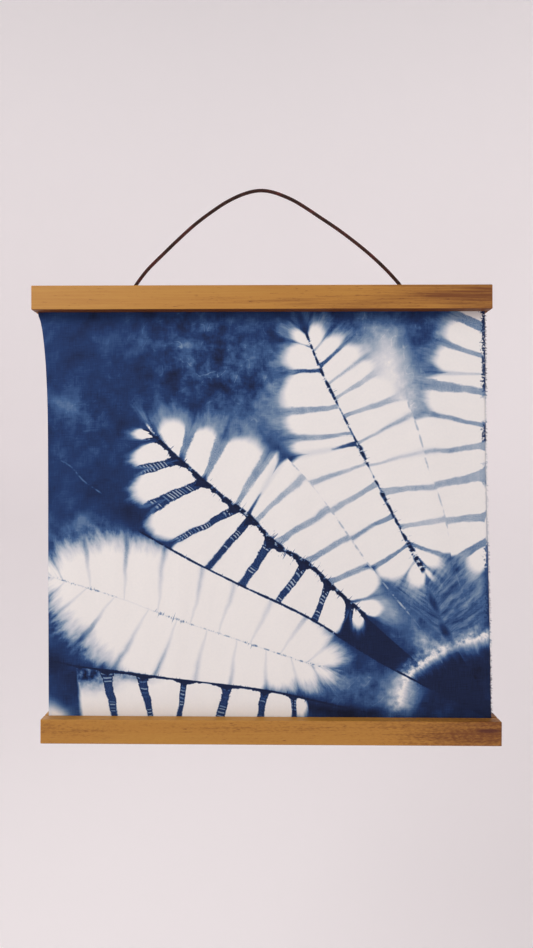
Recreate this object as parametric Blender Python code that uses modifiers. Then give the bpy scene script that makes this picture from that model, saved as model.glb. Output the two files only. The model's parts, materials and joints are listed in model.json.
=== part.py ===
"""A dyed cloth held between the slats of two wooden hanger bars and hung on a cord.

Metres, +Z up. The front faces -Y and the wall is on the +Y side. The origin is the
point where a nail or hook carries the cord.
"""

import math
from collections import namedtuple

import bpy
from mathutils import Vector

# Bars: each is a front slat and a back slat with the cloth between them
BAR_LENGTH = 0.380
BAR_HEIGHT = 0.020
BAR_DEPTH = 0.020
SLAT_EDGE_RADIUS = 0.0007
SLAT_EDGE_STEPS = 3
REST_GAP = 0.0003  # left between two pieces that touch on the real thing
SHARP_ANGLE = math.radians(40)  # faces that meet at more than this show an edge

TOP_BAR_CENTRE = (0.0025, -0.0928)  # x and z of its middle
TOP_BAR_TILT = math.radians(0.15)  # its right end is the higher one
BOTTOM_BAR_CENTRE = (0.0101, -0.4516)
BOTTOM_BAR_TILT = math.radians(-0.33)  # its right end is the lower one

# Cloth
CLOTH_THICKNESS = 0.001
CLOTH_EDGE_INSET = 0.002  # from the bar's outer face to the cloth's cut edge
CLOTH_COLUMNS = 30
CLOTH_ROWS = 44
FOLD_END_POWER = 0.7  # below 1, so that a fold dies away close to its ends

# Cord
CORD_DIAMETER = 0.003
CORD_POINT_PITCH = 0.006
CURVE_STEPS = 12  # readings between two points of the cord's route
SOCKET_DIAMETER = CORD_DIAMETER + 2 * REST_GAP
SOCKET_DEPTH = 0.012
SOCKET_SIDES = 24
CUTTER_OVERSHOOT = 0.002  # how far a socket's cutter stands out of the bar

# Depths, measured from the hang point's plane, which is the middle of the back slats
SLAT_GAP = CLOTH_THICKNESS + 2 * REST_GAP
SLAT_THICKNESS = (BAR_DEPTH - SLAT_GAP) / 2
BACK_SLAT_Y = 0.0
CLOTH_Y = BACK_SLAT_Y - (SLAT_THICKNESS + SLAT_GAP) / 2
FRONT_SLAT_Y = CLOTH_Y - (SLAT_THICKNESS + SLAT_GAP) / 2

# The cloth's side edges: x of its left and of its right edge at each height
EdgeRow = namedtuple("EdgeRow", "height left right")
EDGE_ROWS = (
    EdgeRow(height=-0.0840, left=-0.1856, right=0.1892),
    EdgeRow(height=-0.1035, left=-0.1851, right=0.1893),
    EdgeRow(height=-0.1095, left=-0.1834, right=0.1894),
    EdgeRow(height=-0.1178, left=-0.1817, right=0.1895),
    EdgeRow(height=-0.1303, left=-0.1802, right=0.1896),
    EdgeRow(height=-0.1500, left=-0.1786, right=0.1898),
    EdgeRow(height=-0.1850, left=-0.1772, right=0.1899),
    EdgeRow(height=-0.2350, left=-0.1768, right=0.1903),
    EdgeRow(height=-0.3000, left=-0.1767, right=0.1918),
    EdgeRow(height=-0.3700, left=-0.1765, right=0.1934),
    EdgeRow(height=-0.4600, left=-0.1762, right=0.1950),
)

# The cloth's soft folds: each is a low ridge (or, below nought, a trough) in its plane,
# from one end at x, z to the other, so wide from its crest to where it fades out
Fold = namedtuple("Fold", "start end half_width rise")
FOLDS = (
    Fold(start=(-0.150, -0.120), end=(-0.157, -0.430), half_width=0.020, rise=0.0009),
    Fold(start=(-0.105, -0.250), end=(-0.110, -0.430), half_width=0.014, rise=-0.0006),
    Fold(start=(-0.064, -0.290), end=(-0.072, -0.432), half_width=0.012, rise=0.0006),
    Fold(start=(-0.020, -0.130), end=(-0.034, -0.425), half_width=0.026, rise=-0.0006),
    Fold(start=(0.036, -0.150), end=(0.020, -0.420), half_width=0.020, rise=0.0007),
    Fold(start=(0.086, -0.120), end=(0.090, -0.380), half_width=0.022, rise=-0.0005),
    Fold(start=(0.142, -0.125), end=(0.150, -0.425), half_width=0.022, rise=0.0009),
)

# The cord's route from the mouth of one socket to the mouth of the other, x and z
CORD_ROUTE = (
    (-0.1063, -0.0826),
    (-0.1036, -0.0775),
    (-0.0943, -0.0654),
    (-0.0817, -0.0528),
    (-0.0690, -0.0405),
    (-0.0550, -0.0278),
    (-0.0409, -0.0170),
    (-0.0269, -0.0078),
    (-0.0128, -0.0013),
    (0.0000, CORD_DIAMETER / 2),
    (0.0120, 0.0001),
    (0.0265, -0.0055),
    (0.0376, -0.0118),
    (0.0518, -0.0212),
    (0.0661, -0.0308),
    (0.0803, -0.0414),
    (0.0944, -0.0530),
    (0.1072, -0.0650),
    (0.1180, -0.0768),
    (0.1212, -0.0820),
)


def remove_everything():
    """Clear the scene's objects, so that the script can be run again."""
    for old in list(bpy.data.objects):
        bpy.data.objects.remove(old, do_unlink=True)


def new_collection(name):
    """Add a collection to the scene."""
    collection = bpy.data.collections.new(name)
    bpy.context.scene.collection.children.link(collection)
    return collection


def move_to(collection, part):
    """Leave a part in this collection only."""
    for other in list(part.users_collection):
        other.objects.unlink(part)
    collection.objects.link(part)


def principled(name, colour, roughness):
    """A plain non-metal material."""
    material = bpy.data.materials.new(name)
    material.use_nodes = True
    shader = material.node_tree.nodes["Principled BSDF"]
    shader.inputs["Base Color"].default_value = (*colour, 1.0)
    shader.inputs["Roughness"].default_value = roughness
    shader.inputs["Metallic"].default_value = 0.0
    material.diffuse_color = (*colour, 1.0)
    return material


def add_box(name, size, material, collection):
    """A box about its own origin, with its scale applied."""
    bpy.ops.mesh.primitive_cube_add(size=1.0)
    box = bpy.context.object
    box.name = name
    box.scale = size
    bpy.ops.object.transform_apply(location=False, rotation=False, scale=True)
    box.data.materials.append(material)
    move_to(collection, box)
    return box


def ease_edges(part):
    """Round a slat's edges a little, as sanding does."""
    bevel = part.modifiers.new("Eased edges", "BEVEL")
    bevel.width = SLAT_EDGE_RADIUS
    bevel.segments = SLAT_EDGE_STEPS
    part.data.shade_smooth()
    part.data.set_sharp_from_angle(angle=SHARP_ANGLE)


def add_bar(name, centre, tilt, material, collection):
    """An empty at the bar's middle that carries its front and back slat."""
    x, z = centre
    frame = bpy.data.objects.new(name + "_frame", None)
    collection.objects.link(frame)
    frame.location = (x, 0.0, z)
    frame.rotation_euler = (0.0, -tilt, 0.0)
    slats = {}
    for side, depth in (("front", FRONT_SLAT_Y), ("back", BACK_SLAT_Y)):
        size = (BAR_LENGTH, SLAT_THICKNESS, BAR_HEIGHT)
        slat = add_box(f"{name}_{side}", size, material, collection)
        ease_edges(slat)
        slat.parent = frame
        slat.location = (0.0, depth, 0.0)
        slats[side] = slat
    return slats


def bar_surface_z(centre, tilt, x, above):
    """Height of a bar's top face (above) or underside at x."""
    middle_x, middle_z = centre
    half = BAR_HEIGHT / 2
    offset = half if above else -half
    return middle_z + (x - middle_x) * math.tan(tilt) + offset


def drill_sockets(slat, collection):
    """Two round holes in the slat's top face for the cord's ends."""
    for side, (x, _) in (("left", CORD_ROUTE[0]), ("right", CORD_ROUTE[-1])):
        top = bar_surface_z(TOP_BAR_CENTRE, TOP_BAR_TILT, x, above=True)
        bpy.ops.mesh.primitive_cylinder_add(
            vertices=SOCKET_SIDES,
            radius=SOCKET_DIAMETER / 2,
            depth=SOCKET_DEPTH + CUTTER_OVERSHOOT,
            location=(x, BACK_SLAT_Y, top + (CUTTER_OVERSHOOT - SOCKET_DEPTH) / 2),
        )
        cutter = bpy.context.object
        cutter.name = f"socket_cutter_{side}"
        cutter.hide_render = True
        cutter.display_type = "WIRE"
        move_to(collection, cutter)
        cut = slat.modifiers.new(f"Socket {side}", "BOOLEAN")
        cut.operation = "DIFFERENCE"
        cut.solver = "EXACT"
        cut.object = cutter


def smooth_step(t):
    """0 up to 1 with level ends."""
    t = min(max(t, 0.0), 1.0)
    return t * t * (3.0 - 2.0 * t)


def edges_at(z):
    """The cloth's left and right x at this height, on smooth curves through EDGE_ROWS."""
    rows = EDGE_ROWS
    if z >= rows[0].height:
        return rows[0].left, rows[0].right
    if z <= rows[-1].height:
        return rows[-1].left, rows[-1].right
    upper = max(i for i, row in enumerate(rows) if row.height >= z)
    a, b = rows[upper], rows[upper + 1]
    before = rows[max(upper - 1, 0)]
    after = rows[min(upper + 2, len(rows) - 1)]
    span = b.height - a.height
    t = (z - a.height) / span

    def through(value):
        slope_a = (value(b) - value(before)) / (b.height - before.height) * span
        slope_b = (value(after) - value(a)) / (after.height - a.height) * span
        return (
            (2 * t**3 - 3 * t**2 + 1) * value(a)
            + (t**3 - 2 * t**2 + t) * slope_a
            + (3 * t**2 - 2 * t**3) * value(b)
            + (t**3 - t**2) * slope_b
        )

    return through(lambda row: row.left), through(lambda row: row.right)


def fold_height(fold, x, z):
    """How far one fold lifts the cloth at x, z."""
    start = Vector(fold.start)
    along = Vector(fold.end) - start
    place = Vector((x, z)) - start
    share = place.dot(along) / along.length_squared
    across = abs(along.x * place.y - along.y * place.x) / along.length
    fade = math.sin(math.pi * min(max(share, 0.0), 1.0)) ** FOLD_END_POWER
    return fold.rise * fade * smooth_step(1.0 - across / fold.half_width)


def cloth_top(x):
    """Height of the cloth's cut edge inside the top bar."""
    return bar_surface_z(TOP_BAR_CENTRE, TOP_BAR_TILT, x, above=True) - CLOTH_EDGE_INSET


def cloth_bottom(x):
    """Height of the cloth's cut edge inside the bottom bar."""
    low = bar_surface_z(BOTTOM_BAR_CENTRE, BOTTOM_BAR_TILT, x, above=False)
    return low + CLOTH_EDGE_INSET


def cloth_point(u, v):
    """The cloth's middle surface: u from its left to its right, v from its foot to its top."""
    middle_x = (TOP_BAR_CENTRE[0] + BOTTOM_BAR_CENTRE[0]) / 2
    rough_z = cloth_bottom(middle_x) + v * (cloth_top(middle_x) - cloth_bottom(middle_x))
    left, right = edges_at(rough_z)
    x = left + u * (right - left)
    z = cloth_bottom(x) + v * (cloth_top(x) - cloth_bottom(x))
    y = CLOTH_Y - sum(fold_height(fold, x, z) for fold in FOLDS)
    return Vector((x, y, z))


def add_cloth(material, collection):
    """A grid shaped to the cloth's outline and folds, given its thickness."""
    bpy.ops.mesh.primitive_grid_add(
        x_subdivisions=CLOTH_COLUMNS,
        y_subdivisions=CLOTH_ROWS,
        size=1.0,
    )
    cloth = bpy.context.object
    cloth.name = "cloth"
    for vertex in cloth.data.vertices:
        vertex.co = cloth_point(vertex.co.x + 0.5, vertex.co.y + 0.5)
    thickness = cloth.modifiers.new("Cloth thickness", "SOLIDIFY")
    thickness.thickness = CLOTH_THICKNESS
    thickness.offset = 0.0
    cloth.data.shade_smooth()
    cloth.data.set_sharp_from_angle(angle=SHARP_ANGLE)
    cloth.data.materials.append(material)
    move_to(collection, cloth)
    return cloth


def catmull_rom(points, steps):
    """A smooth curve through the points, read at this many steps between each two."""
    padded = [2 * points[0] - points[1], *points, 2 * points[-1] - points[-2]]
    curve = []
    for a, b, c, d in zip(padded, padded[1:], padded[2:], padded[3:]):
        for step in range(steps):
            t = step / steps
            curve.append(
                0.5
                * (
                    2 * b
                    + (c - a) * t
                    + (2 * a - 5 * b + 4 * c - d) * t**2
                    + (3 * b - a - 3 * c + d) * t**3
                )
            )
    curve.append(points[-1].copy())
    return curve


def spaced_evenly(curve, pitch):
    """The same route with its points about this far apart."""
    travelled = [0.0]
    for a, b in zip(curve, curve[1:]):
        travelled.append(travelled[-1] + (b - a).length)
    count = max(2, round(travelled[-1] / pitch))
    points = []
    index = 0
    for step in range(count + 1):
        target = travelled[-1] * step / count
        while index < len(curve) - 2 and travelled[index + 1] < target:
            index += 1
        share = (target - travelled[index]) / (travelled[index + 1] - travelled[index])
        points.append(curve[index].lerp(curve[index + 1], share))
    return points


def cord_points():
    """The cord's middle line, from the bottom of one socket to the bottom of the other."""
    route = [Vector((x, BACK_SLAT_Y, z)) for x, z in CORD_ROUTE]
    arch = spaced_evenly(catmull_rom(route, steps=CURVE_STEPS), CORD_POINT_PITCH)
    deep_ends = []
    for mouth in (route[0], route[-1]):
        top = bar_surface_z(TOP_BAR_CENTRE, TOP_BAR_TILT, mouth.x, above=True)
        deep_ends.append(Vector((mouth.x, mouth.y, top - SOCKET_DEPTH + REST_GAP)))
    return [deep_ends[0], *arch, deep_ends[1]]


def add_cord(material, collection):
    """A round tube along the cord's route."""
    points = cord_points()
    data = bpy.data.curves.new("cord", "CURVE")
    data.dimensions = "3D"
    data.bevel_depth = CORD_DIAMETER / 2
    data.bevel_resolution = 2
    data.use_fill_caps = True
    spline = data.splines.new("POLY")
    spline.points.add(len(points) - 1)
    for place, point in zip(spline.points, points):
        place.co = (*point, 1.0)
    data.materials.append(material)
    cord = bpy.data.objects.new("cord", data)
    collection.objects.link(cord)
    return cord


def main():
    """Build the whole piece."""
    remove_everything()
    parts = new_collection("dyed_cloth_with_hanger_bars")
    cutters = new_collection("cutters")
    wood = principled("Oiled wood", (0.45, 0.24, 0.09), 0.55)
    indigo = principled("Indigo dyed cotton", (0.10, 0.16, 0.33), 0.90)
    brown = principled("Brown cord", (0.06, 0.03, 0.025), 0.60)
    top = add_bar("top_bar", TOP_BAR_CENTRE, TOP_BAR_TILT, wood, parts)
    drill_sockets(top["back"], cutters)
    add_bar("bottom_bar", BOTTOM_BAR_CENTRE, BOTTOM_BAR_TILT, wood, parts)
    add_cloth(indigo, parts)
    add_cord(brown, parts)


main()
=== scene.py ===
"""A stitch-resist dyed cloth held in wooden hanger bars, on its cord, in a plain studio.

Metres, +Z up, in the frame's own axes: the cloth faces -Y and the cord's peak is the
origin.
"""

from __future__ import annotations

import json
import logging
import math
from dataclasses import dataclass
from enum import Enum
from functools import partialmethod
from typing import Any, Optional, Sequence, Union

import bpy
import numpy as np
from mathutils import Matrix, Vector

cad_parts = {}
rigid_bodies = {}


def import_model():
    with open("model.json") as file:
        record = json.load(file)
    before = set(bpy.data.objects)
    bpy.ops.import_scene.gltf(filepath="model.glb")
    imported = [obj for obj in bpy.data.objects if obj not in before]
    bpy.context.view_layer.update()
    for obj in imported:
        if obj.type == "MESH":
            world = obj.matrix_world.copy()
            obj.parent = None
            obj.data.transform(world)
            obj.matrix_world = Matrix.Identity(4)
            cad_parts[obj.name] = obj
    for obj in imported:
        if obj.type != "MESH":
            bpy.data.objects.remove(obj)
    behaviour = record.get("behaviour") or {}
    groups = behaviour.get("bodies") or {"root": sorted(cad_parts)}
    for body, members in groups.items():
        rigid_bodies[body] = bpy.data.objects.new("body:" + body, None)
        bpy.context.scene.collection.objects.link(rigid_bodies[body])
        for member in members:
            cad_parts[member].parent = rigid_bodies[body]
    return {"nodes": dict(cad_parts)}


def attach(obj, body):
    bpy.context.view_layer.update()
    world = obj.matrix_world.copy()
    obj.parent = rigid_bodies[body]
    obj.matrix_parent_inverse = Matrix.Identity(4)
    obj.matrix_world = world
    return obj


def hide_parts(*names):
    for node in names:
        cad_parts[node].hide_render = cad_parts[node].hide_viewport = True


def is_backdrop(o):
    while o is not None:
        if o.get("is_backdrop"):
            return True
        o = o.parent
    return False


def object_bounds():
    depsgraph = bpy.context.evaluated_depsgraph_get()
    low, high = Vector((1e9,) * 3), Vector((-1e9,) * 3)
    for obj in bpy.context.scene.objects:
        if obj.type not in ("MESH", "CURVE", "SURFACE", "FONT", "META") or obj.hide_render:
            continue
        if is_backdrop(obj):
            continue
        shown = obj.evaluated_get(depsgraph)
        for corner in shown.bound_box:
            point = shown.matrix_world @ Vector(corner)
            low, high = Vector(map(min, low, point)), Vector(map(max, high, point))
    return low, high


LOG = logging.getLogger("dyed_cloth")
BODY = "root"

Socket = bpy.types.NodeSocket
Value = Union[float, Sequence[float], Socket]
Point = tuple[float, float]
Triple = tuple[float, float, float]


def linear(red: int, green: int, blue: int) -> Triple:
    """Turn a screen colour into the linear one that shaders take.

    Args:
        red: 0 to 255.
        green: 0 to 255.
        blue: 0 to 255.

    Returns:
        The three linear values.
    """
    shares = (channel / 255 for channel in (red, green, blue))
    return tuple(s / 12.92 if s <= 0.04045 else ((s + 0.055) / 1.055) ** 2.4 for s in shares)


def smooth_step(share: np.ndarray) -> np.ndarray:
    """0 up to 1 with level ends, for arrays or single values."""
    share = np.clip(share, 0.0, 1.0)
    return share * share * (3.0 - 2.0 * share)


def smooth_path(points: np.ndarray, steps: int) -> np.ndarray:
    """Read a smooth curve through some points.

    Args:
        points: One row a point.
        steps: How many pieces the stretch between two points is cut into.

    Returns:
        The points of the curve, one row each, the first and last ones kept.
    """
    padded = np.vstack([2 * points[0] - points[1], points, 2 * points[-1] - points[-2]])
    shares = (np.arange(steps) / steps)[:, None]
    rows = []
    for a, b, c, d in zip(padded, padded[1:], padded[2:], padded[3:]):
        rows.append(
            0.5
            * (
                2 * b
                + (c - a) * shares
                + (2 * a - 5 * b + 4 * c - d) * shares**2
                + (3 * b - a - 3 * c + d) * shares**3
            )
        )
    return np.vstack([*rows, points[-1:]])


def distances(curve: np.ndarray) -> np.ndarray:
    """How far along a curve each of its points lies."""
    steps = np.linalg.norm(np.diff(curve, axis=0), axis=1)
    return np.concatenate([[0.0], np.cumsum(steps)])


def spaced_evenly(curve: np.ndarray, pitch: float) -> np.ndarray:
    """Read a curve again at even distances.

    Args:
        curve: Its points, one row each.
        pitch: About how far apart the new points are.

    Returns:
        The new points, with both ends kept.
    """
    along = distances(curve)
    count = max(2, round(along[-1] / pitch))
    wanted = np.linspace(0.0, along[-1], count + 1)
    return np.stack([np.interp(wanted, along, column) for column in curve.T], axis=1)


class Recipe:
    """Adds nodes to one node tree and wires them together."""

    def __init__(self, tree: bpy.types.NodeTree) -> None:
        """Work on this tree."""
        self.tree = tree

    def node(self, kind: str, **settings: Any) -> bpy.types.Node:
        """Add a node and set its options."""
        made = self.tree.nodes.new(kind)
        for name, value in settings.items():
            setattr(made, name, value)
        return made

    def plug(self, socket: Socket, value: Value) -> None:
        """Link a socket to another one, or set its value."""
        if isinstance(value, Socket):
            self.tree.links.new(value, socket)
        else:
            socket.default_value = value

    def math(self, operation: str, *values: Value) -> Socket:
        """One arithmetic step, such as ADD, on one to three values."""
        made = self.node("ShaderNodeMath", operation=operation)
        for socket, value in zip(made.inputs, values):
            self.plug(socket, value)
        return made.outputs[0]

    add = partialmethod(math, "ADD")
    subtract = partialmethod(math, "SUBTRACT")
    multiply = partialmethod(math, "MULTIPLY")
    divide = partialmethod(math, "DIVIDE")
    power = partialmethod(math, "POWER")
    smaller = partialmethod(math, "MINIMUM")
    larger = partialmethod(math, "MAXIMUM")
    size = partialmethod(math, "ABSOLUTE")
    multiply_add = partialmethod(math, "MULTIPLY_ADD")

    def fade(self, value: Value, low: Value, high: Value) -> Socket:
        """0 at low, 1 at high and a soft step between. Low may be the greater."""
        made = self.node("ShaderNodeMapRange", interpolation_type="SMOOTHSTEP", clamp=False)
        for socket, given in zip(made.inputs, (value, low, high)):
            self.plug(socket, given)
        return made.outputs[0]

    def between(self, share: Value, first: Value, second: Value) -> Socket:
        """A number between two others."""
        made = self.node("ShaderNodeMix", data_type="FLOAT")
        self.plug(made.inputs[0], share)
        self.plug(made.inputs[2], first)
        self.plug(made.inputs[3], second)
        return made.outputs[0]

    def tint(self, share: Value, first: Value, second: Value, blend: str = "MIX") -> Socket:
        """A colour between two others, or one laid on the other as blend says."""
        made = self.node("ShaderNodeMix", data_type="RGBA", blend_type=blend)
        self.plug(made.inputs[0], share)
        self.plug(made.inputs[6], first)
        self.plug(made.inputs[7], second)
        return made.outputs[2]

    def vector(self, x: Value, y: Value, z: Value = 0.0) -> Socket:
        """Three numbers as one vector."""
        made = self.node("ShaderNodeCombineXYZ")
        for socket, value in zip(made.inputs, (x, y, z)):
            self.plug(socket, value)
        return made.outputs[0]

    def split(self, value: Socket) -> list[Socket]:
        """A vector's three numbers."""
        made = self.node("ShaderNodeSeparateXYZ")
        self.plug(made.inputs[0], value)
        return list(made.outputs)

    def noise(
        self,
        place: Socket,
        scale: Value,
        detail: float = 2.0,
        roughness: float = 0.5,
        flat: bool = False,
    ) -> Socket:
        """Cloudy noise about one half.

        Args:
            place: Where it is read.
            scale: Blobs in a unit of place.
            detail: How many finer layers it has.
            roughness: How strong those are.
            flat: Reads only the place's first two numbers, which is quicker.

        Returns:
            The noise, from 0 to 1.
        """
        made = self.node("ShaderNodeTexNoise", noise_dimensions="2D" if flat else "3D")
        self.plug(made.inputs["Vector"], place)
        self.plug(made.inputs["Scale"], scale)
        self.plug(made.inputs["Detail"], detail)
        self.plug(made.inputs["Roughness"], roughness)
        return made.outputs[0]

    def ramp(self, value: Value, stops: Sequence[tuple[float, Triple]]) -> Socket:
        """A colour looked up between stops, each a place from 0 to 1 and a linear colour."""
        made = self.node("ShaderNodeValToRGB")
        self.plug(made.inputs[0], value)
        elements = made.color_ramp.elements
        while len(elements) < len(stops):
            elements.new(0.5)
        for element, (place, colour) in zip(elements, stops):
            element.position = place
            element.color = (*colour, 1.0)
        return made.outputs[0]

    def stored(self, name: str) -> bpy.types.Node:
        """What the mesh stores under a name."""
        return self.node("ShaderNodeAttribute", attribute_name=name)

    def relief(self, height: Socket, depth: float) -> Socket:
        """A bumped normal from a height from 0 to 1 that stands for depth metres."""
        made = self.node("ShaderNodeBump")
        made.inputs["Strength"].default_value = 1.0
        made.inputs["Distance"].default_value = depth
        self.plug(made.inputs["Height"], height)
        return made.outputs[0]


def new_material(name: str) -> tuple[bpy.types.Material, Recipe, bpy.types.Node]:
    """A material with a Principled shader, its recipe and that shader's node."""
    material = bpy.data.materials.new(name)
    material.use_nodes = True
    return material, Recipe(material.node_tree), material.node_tree.nodes["Principled BSDF"]


# The stitched lines and the leaves that open from them


@dataclass(frozen=True)
class Rib:
    """A pleat's fold between two white lobes, where dye crept in.

    Attributes:
        at: Where it leaves its seam, metres along it.
        angle: Its direction in degrees, 0 to the right and 90 up.
        reach: How far the white beside it runs out from the seam.
        feather: How softly that white ends.
        width: Half the rib's width.
        tone: How dark it is, from 0 to about 1.
        flare: How much wider it grows on its way out, below nought if narrower.
        length: How far it shows, or None if all the way.
    """

    at: float
    angle: float
    reach: float
    feather: float = 0.006
    width: float = 0.0010
    tone: float = 0.40
    flare: float = 0.0
    length: Optional[float] = None


class Seam:
    """A line that was stitched and drawn up before the cloth was dyed."""

    RUN_ON = 0.5  # how far it is taken on, straight, past each end

    def __init__(self, name: str, points: Sequence[Point]) -> None:
        """Lay a smooth line through points given as x and z."""
        self.name = name
        curve = smooth_path(np.array(points), steps=10)
        first = curve[0] - curve[1]
        last = curve[-1] - curve[-2]
        before = curve[0] + first / np.linalg.norm(first) * self.RUN_ON
        after = curve[-1] + last / np.linalg.norm(last) * self.RUN_ON
        self.curve = np.vstack([before, curve, after])
        self.along = distances(self.curve) - self.RUN_ON
        self.length = float(self.along[-1] - self.RUN_ON)

    def point_at(self, along: float) -> np.ndarray:
        """The x and z of a place on it."""
        return np.array([np.interp(along, self.along, column) for column in self.curve.T])

    def locate(self, places: np.ndarray) -> tuple[np.ndarray, np.ndarray]:
        """Find where places lie from it.

        Args:
            places: x and z, one row a place.

        Returns:
            How far along it each one is, and how far across, above nought on the left
            of someone who walks along it.
        """
        nearest = np.full(len(places), np.inf)
        along = np.zeros(len(places))
        across = np.zeros(len(places))
        for start, end, begun in zip(self.curve, self.curve[1:], self.along):
            step = end - start
            length = float(np.linalg.norm(step))
            share = np.clip((places - start) @ step / length**2, 0.0, 1.0)
            away = places - start - share[:, None] * step
            distance = np.linalg.norm(away, axis=1)
            side = np.sign(step[0] * away[:, 1] - step[1] * away[:, 0])
            closer = distance < nearest
            nearest[closer] = distance[closer]
            along[closer] = begun + share[closer] * length
            across[closer] = (side * distance)[closer]
        return along, across


Located = dict[str, tuple[np.ndarray, np.ndarray]]  # by seam: along and across it


class Side(Enum):
    """The side of a seam, for someone who walks along it."""

    LEFT = 1
    RIGHT = -1


@dataclass(frozen=True)
class Look:
    """How the dye took in one half of a leaf.

    Attributes:
        rounding: How far the lobes' corners are drawn in, in metres.
        pale: The tone left between the ribs, 0 for clean white.
        softness: How softly a rib ends at its sides.
        rungs: How strongly a rib is crossed by undyed threads, 0 to 1.
        root: How far the dye ran out from the seam.
        root_tone: How dark it is there.
        late: How far out from the seam the ribs begin to show.
        halo: How far the dye is thinned past the lobes' ends.
        streaks: How strongly the feathered ends are drawn out in streaks.
    """

    rounding: float = 0.007
    pale: float = 0.015
    softness: float = 0.0005
    rungs: float = 0.0
    root: float = 0.001
    root_tone: float = 0.9
    late: float = 0.0
    halo: float = 0.02
    streaks: float = 1.0


@dataclass(frozen=True)
class Fan:
    """One half of a leaf: white lobes and ribs that open from one side of a seam.

    Attributes:
        seam: The seam that it opens from.
        side: The side of it.
        look: How the dye took.
        ribs: Its ribs, in order along the seam. Its white runs from the first to the last.
        bounds: Other seams that it stops at, each with the side that it keeps to.
    """

    seam: Seam
    side: Side
    look: Look
    ribs: tuple[Rib, ...]
    bounds: tuple[tuple[Seam, Side], ...] = ()

    OVERHANG = 0.002  # how far it spreads past its first and last ribs

    def measure(self, places: np.ndarray, located: Located) -> dict[str, np.ndarray]:
        """Work out the numbers that its dye is drawn from.

        Args:
            places: x and z, one row a place.
            located: Where those places lie from each seam.

        Returns:
            Vectors by name, one row a place: its rib number, distance from the seam
            and lobe width; the distances inside the free ends and the bounds; the
            nearest rib's half width and tone; and the look's numbers.
        """
        _, across = located[self.seam.name]
        out = np.array(
            [[math.cos(math.radians(r.angle)), math.sin(math.radians(r.angle))] for r in self.ribs]
        )
        roots = np.array([self.seam.point_at(r.at) for r in self.ribs])
        ahead = np.stack([out[:, 1], -out[:, 0]], axis=1) * self.side.value
        offsets = places[:, None, :] - roots[None, :, :]
        past = (offsets * ahead[None]).sum(2)
        outward = (offsets * out[None]).sum(2)

        last = len(self.ribs) - 1
        lower = np.clip((past >= 0).sum(1) - 1, 0, last - 1)
        rows = np.arange(len(places))
        near, far = past[rows, lower], past[rows, lower + 1]
        pitch = np.maximum(near - far, 0.002)
        share = near / pitch
        inside = np.clip(share, 0.0, 1.0)

        def blended(name: str) -> np.ndarray:
            values = np.array([getattr(rib, name) for rib in self.ribs])
            return values[lower] * (1 - inside) + values[lower + 1] * inside

        run = outward[rows, lower] * (1 - inside) + outward[rows, lower + 1] * inside
        from_ends = np.minimum(past[:, 0], -past[:, last])
        free = np.minimum(blended("reach") - run, from_ends + self.OVERHANG)
        bound = np.full(len(places), 1.0)
        for seam, kept in self.bounds:
            bound = np.minimum(bound, located[seam.name][1] * kept.value)

        nearest = np.where(share < 0.5, lower, lower + 1)
        width = np.array([rib.width for rib in self.ribs])[nearest]
        flare = np.array([rib.flare for rib in self.ribs])[nearest]
        reach = np.array([rib.reach for rib in self.ribs])[nearest]
        shown = np.array([rib.length or 1.0 for rib in self.ribs])[nearest]
        width = width * (1 + flare * np.clip(run / reach, 0.0, 1.2))
        width = width * np.clip((shown - run) / (0.5 * shown), -1.0, 1.0)
        tone = np.array([rib.tone for rib in self.ribs])[nearest]
        look = self.look
        return {
            "ribs": np.stack([lower + share, across * self.side.value, pitch], axis=1),
            "rim": np.stack([free, blended("feather"), bound], axis=1),
            "mark": np.stack([width, tone, run], axis=1),
            "shape": np.tile([look.rounding, look.pale, look.softness], (len(places), 1)),
            "root": np.tile([look.rungs, look.root, look.root_tone], (len(places), 1)),
            "edge": np.tile([look.late, look.halo, look.streaks], (len(places), 1)),
        }


@dataclass(frozen=True)
class Layer:
    """Half leaves that lie far enough apart to share one set of stored numbers.

    Attributes:
        name: What those numbers are called.
        fans: The half leaves.
        under_depths: Whether the deepest dye is laid over it, before the next layer.
    """

    name: str
    fans: tuple[Fan, ...]
    under_depths: bool = False

    CELL = 0.0026  # a little more than the mesh's cell from corner to corner
    FAR = -0.045  # no halo reaches further than this
    NOTHING = {
        "ribs": (0.0, -0.01, 0.01),
        "rim": (-0.1, 0.005, -0.01),
        "mark": (-0.001, 0.0, 0.0),
        "shape": (0.0, 0.0, 0.001),
        "root": (0.0, 0.001, 0.0),
        "edge": (0.0, 0.0, 0.0),
    }

    def measure(self, places: np.ndarray, located: Located) -> dict[str, np.ndarray]:
        """Give each place the numbers of the half leaf that it is most inside.

        Args:
            places: x and z, one row a place.
            located: Where those places lie from each seam.

        Returns:
            Vectors by name, one row a place.
        """
        stored = {name: np.tile(values, (len(places), 1)) for name, values in self.NOTHING.items()}
        deepest = np.full(len(places), -np.inf)
        for number, fan in enumerate(self.fans):
            vectors = fan.measure(places, located)
            vectors["ribs"][:, 0] += 20.0 * number
            away, free, bound = vectors["ribs"][:, 1], vectors["rim"][:, 0], vectors["rim"][:, 2]
            depth = np.minimum(np.minimum(away, bound), free)
            taken = (away > -self.CELL) & (bound > -self.CELL) & (free > self.FAR) & (depth > deepest)
            deepest[taken] = depth[taken]
            for name, values in vectors.items():
                stored[name][taken] = values[taken]
        return stored


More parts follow.
